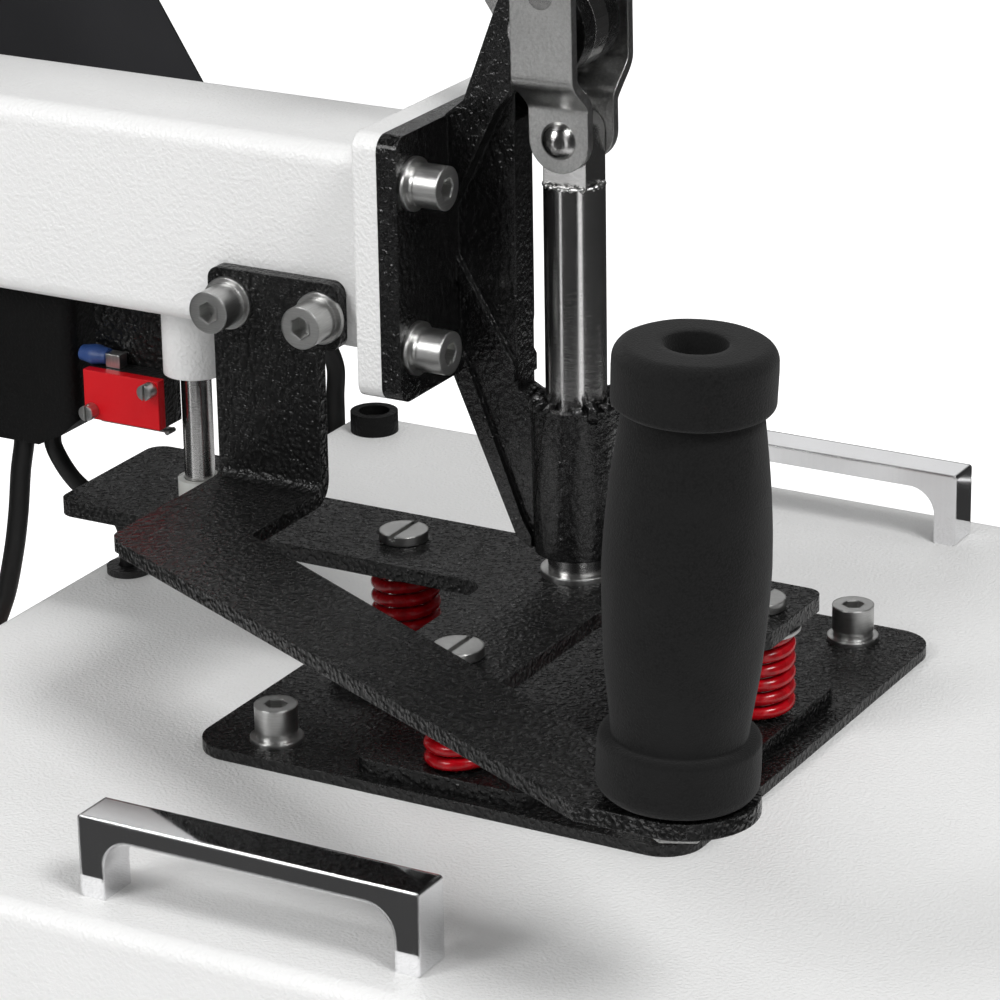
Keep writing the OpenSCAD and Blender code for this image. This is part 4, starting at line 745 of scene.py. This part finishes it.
class HEATPRESS_OT_grip(bpy.types.Operator):
    """Shapes the foam grip of the swing handle"""

    bl_idname = "heatpress.grip"
    bl_label = "Foam grip"

    def execute(self, context):
        """Radius over height: two collars with round edges, and between their necks a barrel
        r = neck + (belly - neck) sin(pi t), with slow dents of a few tenths of a millimetre."""
        given = context.scene.heatpress_grip
        foot, top = low("foam_grip"), high("foam_grip")
        length = (top[2] - foot[2] - given.cap * sin(given.lean)) / cos(given.lean)
        collar, cap, neck = given.collar / 2, given.cap / 2, given.neck / 2
        bore, recess, h = given.bore / 2, given.recess / 2, given.collar_height
        arc = np.linspace(0, pi / 2, 9)
        near_axis, to_side = GRIP_EDGE * (1 - np.sin(arc)), GRIP_EDGE * (1 - np.cos(arc))
        below = np.stack([collar - near_axis, to_side], -1)
        above = np.stack([cap - to_side, length - near_axis], -1)
        t = np.linspace(0, 1, 60)
        barrel = np.stack([neck + (given.belly / 2 - neck) * np.sin(pi * t),
                           h + t * (length - 2 * h)], -1)
        s = np.linspace(0, 1, 7)[1:-1]
        turn_in = neck + (collar - neck) * np.sqrt(1 - s**2)
        shoulder = np.stack([turn_in, h - GRIP_LIP + GRIP_LIP * s], -1)
        turn_out = neck + (cap - neck) * np.sqrt(1 - (1 - s) ** 2)
        crown = np.stack([turn_out, length - h + GRIP_LIP * s], -1)
        hole = np.array([[recess + RECESS_SOFT, length],
                         [recess + 0.2 * RECESS_SOFT, length - 0.3 * RECESS_SOFT],
                         [recess, length - RECESS_SOFT], [recess, length - RECESS_DEEP],
                         [bore, length - RECESS_DEEP], [bore, 0.0]])
        outline = np.vstack([below, [[collar, h - GRIP_LIP]], shoulder, barrel, crown,
                             [[cap, length - h + GRIP_LIP]], above, hole])
        places = np.arange(len(outline))
        steps = np.linspace(0, len(outline) - 1, 3 * len(outline))
        fine = np.stack([np.interp(steps, places, column) for column in outline.T], -1)
        skin = lathe(fine, GRIP_SIDES)
        a, z = np.arctan2(skin[..., 1], skin[..., 0]), skin[..., 2]
        dents = sum(depth * np.sin(waves * a + turn * z + start)
                    for depth, waves, turn, start in DENTS)
        outside = skin[..., :2] * (1 - np.abs(dents) / MEAN_RADIUS)[..., None]
        inside = np.hypot(skin[..., 0], skin[..., 1]) <= recess + RECESS_SOFT
        skin[..., :2] = np.where(inside[..., None], skin[..., :2], outside)
        skin = turned_about_x(skin, np.degrees(given.lean))
        least, most = skin.reshape(-1, 3).min(0), skin.reshape(-1, 3).max(0)
        placed = skin + (foot + top) / 2 - (least + most) / 2
        placed[..., 2] = skin[..., 2] - least[2] + foot[2]
        grip = add_piece("grip_foam", [torus_surface(placed)], "swing_arm", "foam")
        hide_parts("foam_grip")
        return {"FINISHED"}


# Routes of the leads in millimetres, as the part's source has them, with heights over the pad
HEATER_ROUTE = [[112, 236, 192], [112, 236, 180], [118, 234, 164], [138, 226, 142],
                [164, 214, 122], [180, 204, 104], [187, 200, 90], [187, 200, 76],
                [187, 200, 56], [187, 200, 33]]
SENSOR_ROUTE = [[2, 191, 124.6], [2, 191, 120], [4, 189, 113], [8, 187, 106], [14, 184, 99],
                [22, 182, 92], [26, 181, 82], [26, 181, 72], [26, 181, 45]]
POWER_ROUTE = [[0, 201, 124.6], [0, 201, 120], [0, 203, 110], [0, 205, 95], [0, 208, 80],
               [0, 213, 63], [0, 221, 49], [0, 234, 43], [0, 245, 50], [0, 251, 68],
               [0, 253, 100], [0, 253, 140], [0, 253, 160], [0, 253, 176]]
ROUTE_STEPS, LEAD_SIDES = 10, 20


class HEATPRESS_OT_leads(bpy.types.Operator):
    """Lays the three black leads from the arm and the control box into the head"""

    bl_idname = "heatpress.leads"
    bl_label = "Leads"

    def execute(self, context):
        """A round jacket carried along a smooth curve through the route's points."""
        given = context.scene.heatpress_leads
        # Piece, route, diameter, side that its section starts from, the CAD node it stands for,
        # and the heights in millimetres where it leaves the platen and the arm
        rows = (
            ("heater_jacket", HEATER_ROUTE, given.thick, (0.42, 0.9, 0.0), "heater_lead", 76, 176),
            ("sensor_jacket", SENSOR_ROUTE, given.thin, (0.0, 1.0, 0.2), "sensor_lead", 77, 117),
            ("power_jacket", POWER_ROUTE, given.thick, (1.0, 0.0, 0.0), "power_lead", None, None),
        )
        for name, route, size, side, source, platen_end, arm_end in rows:
            path = smooth_route(np.array(route, float) * MM, ROUTE_STEPS)
            skin = sweep(path, round_section(size / 2, LEAD_SIDES), np.array(side, float))
            lead = add_piece(name, [ring_surface(skin)], None if platen_end else "swing_arm",
                             "cable_rubber")
            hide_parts(source)
            if platen_end:
                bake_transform(lead)
        return {"FINISHED"}


# Sizes of a link plate in metres: between its two pins, where its sides start to widen and over
# what length, where its joggle starts and over what length, and its rounded edges
PIN_SPAN, WIDEN_FROM, WIDEN_OVER = 44.4 * MM, 8.5 * MM, 4 * MM
JOGGLE_FROM, JOGGLE_OVER, PLATE_EDGE = 9.0 * MM, 11.5 * MM, 0.5 * MM
LEAST_AREA = 1e-9


class HEATPRESS_OT_link(bpy.types.Operator):
    """Bends the two joggled plates of the toggle link"""

    bl_idname = "heatpress.link"
    bl_label = "Link plates"

    def execute(self, context):
        """Mid-surface of a plate: x goes smoothly from the lower to the upper gap over the joggle,
        y = half width times a share, z runs up the link; both ends are half circles."""
        given = context.scene.heatpress_link
        foot, knee = given.foot / 2, given.width / 2
        arc = np.linspace(0, pi / 2, 14)
        z = np.concatenate([-foot * np.cos(arc), np.linspace(0, PIN_SPAN, 46)[1:-1],
                            PIN_SPAN + knee * np.sin(arc)])
        foot_end = np.sqrt(np.maximum(foot**2 - z**2, LEAST_AREA))
        knee_end = np.sqrt(np.maximum(knee**2 - (z - PIN_SPAN) ** 2, LEAST_AREA))
        between = foot + (knee - foot) * smooth_step(z, WIDEN_FROM, WIDEN_OVER)
        reach = np.select([z < 0, z > PIN_SPAN], [foot_end, knee_end], between)
        share = np.sin(np.linspace(-pi / 2, pi / 2, 15))
        bend = smooth_step(z, JOGGLE_FROM, JOGGLE_OVER)
        x = given.inner + (given.outer - given.inner) * bend + given.sheet / 2
        origin = np.array([0.0, 0.0, low("toggle_link")[2] + foot])
        placed = []
        for s in (-1, 1):
            across, up = np.broadcast_arrays(s * x[:, None], z[:, None], share)[:2]
            grid = np.stack([across, reach[:, None] * share[None, ::s], up], -1)
            placed.append(turned_about_x(grid, -np.degrees(given.tilt)) + origin)
        link = add_piece("joggled_plates", [sheet_surface(grid) for grid in placed], "toggle",
                         "plated_steel")
        wall = link.modifiers.new("sheet", "SOLIDIFY")
        wall.thickness = given.sheet
        wall.offset = 0.0
        bevel(link, PLATE_EDGE, 3)
        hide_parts("toggle_link")
        return {"FINISHED"}


# Length of one ripple in metres, the slower waves to one run with the least and largest share
# each may have, how far the bead wanders for its ripple, and its sides
RIPPLE_PITCH, SLOW_WAVES, WAVE_SHARES, WANDER, BEAD_SIDES = 1.7 * MM, (3, 24), (0.1, 0.5), 0.4, 12


def weld_bead(path, side, radius, ripple, seed):
    """A closed weld run: a round section carried along the joint. Its radius is
    radius + ripple (0.5 sin 2 pi n k + sum of w sin(2 pi m n + p)), with n the share of the way
    round, k the count of ripples and seeded weights w and phases p; it wanders by the same sum."""
    rng = np.random.default_rng(seed)
    n = np.arange(len(path)) / len(path)
    around = np.linalg.norm(np.diff(path, axis=0), axis=1).sum()
    waves = np.arange(*SLOW_WAVES)[:, None]
    weights = rng.uniform(*WAVE_SHARES, waves.shape)
    phases = rng.uniform(0, 2 * pi, waves.shape)
    lumps = (weights * np.sin(2 * pi * waves * n + phases)).sum(0)
    wave = 0.5 * np.sin(2 * pi * n * round(around / RIPPLE_PITCH)) + lumps
    size = (radius + ripple * wave)[:, None, None]
    wander = WANDER * ripple * np.roll(lumps, len(path) // 3)[:, None] * unit(np.asarray(side))
    return torus_surface(sweep(path + wander, round_section(1.0, BEAD_SIDES)[None] * size, side))


def rounded_loop(width, height, corner, steps):
    """A rectangle with round corners as evenly spaced (u, v) pairs."""
    arc = np.linspace(0, pi / 2, 10)
    u, v = width / 2 - corner, height / 2 - corner
    turns = [np.stack([su * u + corner * np.cos(arc + q), sv * v + corner * np.sin(arc + q)], -1)
             for q, su, sv in ((0, 1, 1), (pi / 2, -1, 1), (pi, -1, -1), (1.5 * pi, 1, -1))]
    loop = np.vstack(turns + [turns[0][:1]])
    run = np.concatenate([[0], np.cumsum(np.linalg.norm(np.diff(loop, axis=0), axis=1))])
    at = np.linspace(0, run[-1], steps, endpoint=False)
    return np.stack([np.interp(at, run, loop[:, c]) for c in (0, 1)], -1)


class HEATPRESS_OT_welds(bpy.types.Operator):
    """Runs the weld beads at the plunger's shoulder, the collar's top and the arm's end plate"""

    bl_idname = "heatpress.welds"
    bl_label = "Weld beads"

    def execute(self, context):
        """Rings x = R cos a, y = R sin a at a fixed height, and a rounded rectangle on the arm."""
        given = context.scene.heatpress_welds
        a = np.linspace(0, 2 * pi, 180, endpoint=False)
        up = np.array([0.0, 0.0, 1.0])

        def ring(radius, height):
            return np.stack([radius * np.cos(a), radius * np.sin(a), 0 * a + height], -1)

        shoulder = high("plunger")[2] - given.tongue
        bead = weld_bead(ring(8.4 * MM, shoulder), up, radius=0.7 * MM,
                         ripple=given.ripple * 0.5, seed=3)
        add_piece("shoulder_weld", [bead], "plunger", "plated_steel")
        collar = low("head_casting")[2] + given.collar
        bead = weld_bead(ring(12.0 * MM, collar), up, radius=given.bead,
                         ripple=given.ripple * 2.4, seed=5)
        add_piece("collar_weld", [bead], "swing_arm", "cast_black")
        plate = high("head_casting")[1] + given.plate
        loop = rounded_loop(given.arm_width, given.arm_height, given.arm_corner, 420)
        middle = high("arm_tube")[2] - given.arm_below - given.arm_height / 2
        path = np.stack([loop[:, 0], 0 * loop[:, 0] + plate, loop[:, 1] + middle], -1)
        bead = weld_bead(path, np.array([0.0, 1.0, 0.0]), radius=1.7 * MM,
                         ripple=given.ripple * 0.7, seed=8)
        add_piece("arm_weld", [bead], "swing_arm", "white_paint")
        return {"FINISHED"}


# Crimp sleeve and tab of the switch in metres: how far the sleeve starts inside and ends outside
# the switch's back, its height over it and half sizes; then the tab's middle and half sizes
SLEEVE_IN, SLEEVE_OUT, SLEEVE_RISE, SLEEVE_HALF = 5.5 * MM, 4.5 * MM, 2.9 * MM, (3.4 * MM, 2.8 * MM)
SLEEVE_ROWS, SLEEVE_SIDES, SLEEVE_SWELL = 16, 18, 0.12
TAB_IN, TAB_RISE, TAB_HALF = 8 * MM, 2.3 * MM, np.array([2.2, 2.6, 2.2]) * MM


class HEATPRESS_OT_terminals(bpy.types.Operator):
    """Puts the crimp sleeve and tab on the micro switch"""

    bl_idname = "heatpress.terminals"
    bl_label = "Switch terminals"

    def execute(self, context):
        """A flattened tube: section (a cos u, b sin u) carried back along the switch."""
        body_low, body_high = low("switch_body"), high("switch_body")
        y = np.linspace(body_high[1] - SLEEVE_IN, body_high[1] + SLEEVE_OUT, SLEEVE_ROWS)
        z = body_high[2] + SLEEVE_RISE + 0 * y
        x = (body_low[0] + body_high[0]) / 2 + 0 * y
        path = np.stack([x, y, z], -1)
        swell = 1 + SLEEVE_SWELL * np.cos(np.linspace(-pi, pi, SLEEVE_ROWS))
        section = round_section(1.0, SLEEVE_SIDES) * SLEEVE_HALF * swell[:, None, None]
        sleeve = sweep(path, section, np.array([1.0, 0.0, 0.0]))
        piece = add_piece("crimp_sleeve", [ring_surface(sleeve)], "swing_arm",
                          "blue_sleeve")
        bevel(piece, 0.3 * MM)
        ways = [[i, j, k] for i in (-1, 1) for j in (-1, 1) for k in (-1, 1)]
        corners = np.array(ways) * TAB_HALF
        sides = [[0, 1, 3, 2], [4, 6, 7, 5], [0, 4, 5, 1], [2, 3, 7, 6], [0, 2, 6, 4],
                 [1, 5, 7, 3]]
        place = np.array([x[0], body_high[1] - TAB_IN, body_high[2] + TAB_RISE])
        tab = add_piece("terminal_tab", [(corners + place, sides)], "swing_arm",
                        "tin", smooth=False)
        bevel(tab, 0.15 * MM)
        return {"FINISHED"}


# The photograph's camera: place in metres with its height over the cover, and turn in degrees
EYE_PLACE, EYE_TURN, SENSOR_WIDTH = (-1.0397, -0.5647, 0.51316), (69.2487, 0.9099, -60.7228), 36.0
EYE_REACH = (0.05, 30.0)
KEY_PLACE, FILL_PLACE, LAMP_SIZE = (-2.0, 1.05, 1.6), (-0.7, -1.75, 2.5), 0.9
FLOOR_REACH, FLOOR_GLOW = 2.2, 0.6
# Angles in degrees round the press where the tent, a painted dark reflection, is open: two slits,
# and the window behind it, filled by a glowing card that paints a sheen
FIRST_SLIT, SECOND_SLIT, WINDOW = (151, 158), (218, 235), (5, 55)
# The tent's cloth lies on the floor from the first radius to a little past where a line so many
# degrees down from above the cover meets it; heights and radii in metres, or shares of the tent
CLOTH_FROM, CLOTH_PAST, CLOTH_ANGLE, CLOTH_OVER = 0.42, 0.2, 24, 0.04
CLOTH_LIFT, WALL_FOOT, SHOULDER, ROOF = 0.01, 0.3, (0.8, 0.95), (0.45, 1.2)
CLOTH_COLUMNS = 30


class HEATPRESS_OT_stage(bpy.types.Operator):
    """Makes the floor, the lamps, the white surroundings and the camera"""

    bl_idname = "heatpress.stage"
    bl_label = "Floor, lamps and camera"

    def execute(self, context):
        given = context.scene.heatpress_stage
        self.floor(given)
        self.surroundings(given)
        self.flags(given)
        self.lamp("key_lamp", KEY_PLACE, given.key)
        self.lamp("fill_lamp", FILL_PLACE, given.fill)
        eye = bpy.data.cameras.new("photo_camera")
        eye.lens, eye.sensor_width = given.lens, SENSOR_WIDTH
        eye.clip_start, eye.clip_end = EYE_REACH
        holder = bpy.data.objects.new("photo_camera", eye)
        holder.location = (*EYE_PLACE[:2], COVER_TOP + EYE_PLACE[2])
        holder.rotation_euler = [radians(turn) for turn in EYE_TURN]
        context.scene.collection.objects.link(holder)
        context.scene.camera = holder
        context.scene.view_settings.view_transform = "Standard"
        return {"FINISHED"}

    def floor(self, given):
        """A level grid under the feet: x and y run to FLOOR_REACH each way."""
        level = low("rubber_feet")[2]
        line = np.linspace(-FLOOR_REACH, FLOOR_REACH, 9)
        x, y = np.meshgrid(line, line)
        grid = np.stack([x, y, 0 * x + level], -1)
        tree, shader, place = start_finish("floor_paper")
        grain = place_group(tree, "Paint peel", Vector=place, Grain=300.0)
        colour_by(tree, shader, grain.outputs["Mottle"], given.floor, shade(given.floor, 0.97))
        roughness_by(tree, shader, grain.outputs["Mottle"], 0.8, 0.95)
        strength = math_node(tree, "MULTIPLY", seen_rays(tree), FLOOR_GLOW)
        glow = node(tree, "ShaderNodeEmission", Strength=strength)
        both = tree.nodes.new("ShaderNodeAddShader")
        tree.links.new(shader.outputs[0], both.inputs[0])
        tree.links.new(glow.outputs[0], both.inputs[1])
        output = next(n for n in tree.nodes if n.type == "OUTPUT_MATERIAL")
        tree.links.new(both.outputs[0], output.inputs["Surface"])
        floor = add_piece("floor", [sheet_surface(grid)], None, "floor_paper", smooth=False)

    def flags(self, given):
        """A dark tent that only reflections see: x = r cos a, y = r sin a over given r and z.
        Its dark cloth is a painted dark reflection in metal and gloss; its two slits show as bright
        lines in upright metal, and its window behind the press holds a glowing card that paints a
        sheen on what lies flat; the roof is open."""
        level = low("rubber_feet")[2]
        radius = given.tent
        near = CLOTH_PAST + (COVER_TOP + CLOTH_OVER - level) / np.tan(radians(CLOTH_ANGLE))
        rows = np.array([[CLOTH_FROM, level + CLOTH_LIFT], [near, level + CLOTH_LIFT],
                         [radius, level + WALL_FOOT],
                         [radius, COVER_TOP + radius * np.tan(given.sill)],
                         [radius, COVER_TOP + radius * np.tan(given.lintel)],
                         [SHOULDER[0] * radius, COVER_TOP + SHOULDER[1] * radius],
                         [ROOF[0] * radius, COVER_TOP + ROOF[1] * radius]])
        # A near-black sheet seen only in reflections: painted dark reflections in metal and gloss
        tree, shader, place = start_finish("painted_dark_reflection", Roughness=0.9)
        reflection_mottle = place_group(tree, "Paint peel", Vector=place, Grain=90.0)
        colour_by(tree, shader, reflection_mottle.outputs["Mottle"], (0.02, 0.02, 0.02), (0.03, 0.03, 0.03))
        # A card that glows and is seen only in reflections: a painted sheen on what lies flat
        tree, shader, place = start_finish("painted_sheen_glow", Roughness=0.9)
        reflection_mottle = place_group(tree, "Paint peel", Vector=place, Grain=90.0)
        tree.links.new(ramp(tree, reflection_mottle.outputs["Mottle"], 0, 1, 0.10, 0.22),
                       shader.inputs["Emission Strength"])
        shader.inputs["Emission Color"].default_value = (1, 1, 1, 1)

        def arc(first, last, part):
            a = np.radians(np.linspace(first, last, CLOTH_COLUMNS))[None]
            r, z = rows[part, :1], rows[part, 1:]
            return sheet_surface(np.stack([r * np.cos(a), r * np.sin(a), z + 0 * a], -1))

        ground, whole, below = slice(0, 2), slice(1, 7), slice(1, 4)
        window, above = slice(3, 5), slice(4, 7)
        dark_arcs = [arc(0, 360, ground), arc(FIRST_SLIT[1], SECOND_SLIT[0], whole),
                     arc(SECOND_SLIT[1], 360 + WINDOW[0], whole),
                     arc(WINDOW[1], FIRST_SLIT[0], whole), arc(*WINDOW, below),
                     arc(*WINDOW, above)]
        for name, arcs, finish in (("painted_dark_tent", dark_arcs, "painted_dark_reflection"),
                                   ("painted_sheen_card", [arc(*WINDOW, window)], "painted_sheen_glow")):
            cloth = add_piece(name, arcs, None, finish)
            # Both are hidden from the eye, from light and from shadows, so they show only as
            # painted reflections
            cloth.visible_camera = cloth.visible_diffuse = cloth.visible_shadow = False
            cloth.visible_transmission = False

    def surroundings(self, given):
        """White to the eye and in reflections, and an even pale light on the object."""
        world = bpy.data.worlds.new("white_room")
        bpy.context.scene.world = world
        world.use_nodes = True
        tree = world.node_tree
        tree.nodes.clear()
        light = node(tree, "ShaderNodeBackground", Color=(1, 1, 1, 1), Strength=given.sky)
        white = node(tree, "ShaderNodeBackground", Color=(1, 1, 1, 1), Strength=1.0)
        mix = tree.nodes.new("ShaderNodeMixShader")
        tree.links.new(seen_rays(tree), mix.inputs[0])
        tree.links.new(light.outputs[0], mix.inputs[1])
        tree.links.new(white.outputs[0], mix.inputs[2])
        output = tree.nodes.new("ShaderNodeOutputWorld")
        tree.links.new(mix.outputs[0], output.inputs["Surface"])

    def lamp(self, name, place, power):
        """A square area lamp that faces the head of the press."""
        light = bpy.data.lights.new(name, "AREA")
        light.size, light.energy = LAMP_SIZE, power
        holder = bpy.data.objects.new(name, light)
        holder.location = place
        aim = Vector((0.0, 0.0, COVER_TOP)) - Vector(place)
        holder.rotation_euler = aim.to_track_quat("-Z", "Y").to_euler()
        bpy.context.scene.collection.objects.link(holder)


# Panel and registration

SETTINGS = {
    "heatpress_stage": StageSettings,
    "heatpress_finishes": FinishSettings,
    "heatpress_springs": SpringSettings,
    "heatpress_grip": GripSettings,
    "heatpress_leads": LeadSettings,
    "heatpress_link": LinkSettings,
    "heatpress_welds": WeldSettings,
}
OPERATORS = (
    HEATPRESS_OT_finishes,
    HEATPRESS_OT_stage,
    HEATPRESS_OT_leads,
    HEATPRESS_OT_springs,
    HEATPRESS_OT_grip,
    HEATPRESS_OT_link,
    HEATPRESS_OT_welds,
    HEATPRESS_OT_terminals,
)


class HEATPRESS_PT_pieces(bpy.types.Panel):
    """Lists the pieces and their settings in the sidebar"""

    bl_label = "Heat press"
    bl_idname = "HEATPRESS_PT_pieces"
    bl_space_type = "VIEW_3D"
    bl_region_type = "UI"
    bl_category = "Heat press"

    def draw(self, context):
        for operator in OPERATORS:
            self.layout.operator(operator.bl_idname)
        for name, group in SETTINGS.items():
            box = self.layout.box()
            for setting in group.__annotations__:
                box.prop(getattr(context.scene, name), setting)


def register():
    for group in SETTINGS.values():
        bpy.utils.register_class(group)
    for name, group in SETTINGS.items():
        setattr(bpy.types.Scene, name, bpy.props.PointerProperty(type=group))
    for operator in OPERATORS:
        bpy.utils.register_class(operator)
    bpy.utils.register_class(HEATPRESS_PT_pieces)


def unregister():
    bpy.utils.unregister_class(HEATPRESS_PT_pieces)
    for operator in reversed(OPERATORS):
        bpy.utils.unregister_class(operator)
    for name, group in SETTINGS.items():
        delattr(bpy.types.Scene, name)
        bpy.utils.unregister_class(group)


def main():
    register()
    for step in ("finishes", "stage", "leads", "springs", "grip", "link", "welds", "terminals"):
        getattr(bpy.ops.heatpress, step)()


if __name__ == "__main__":
    main()
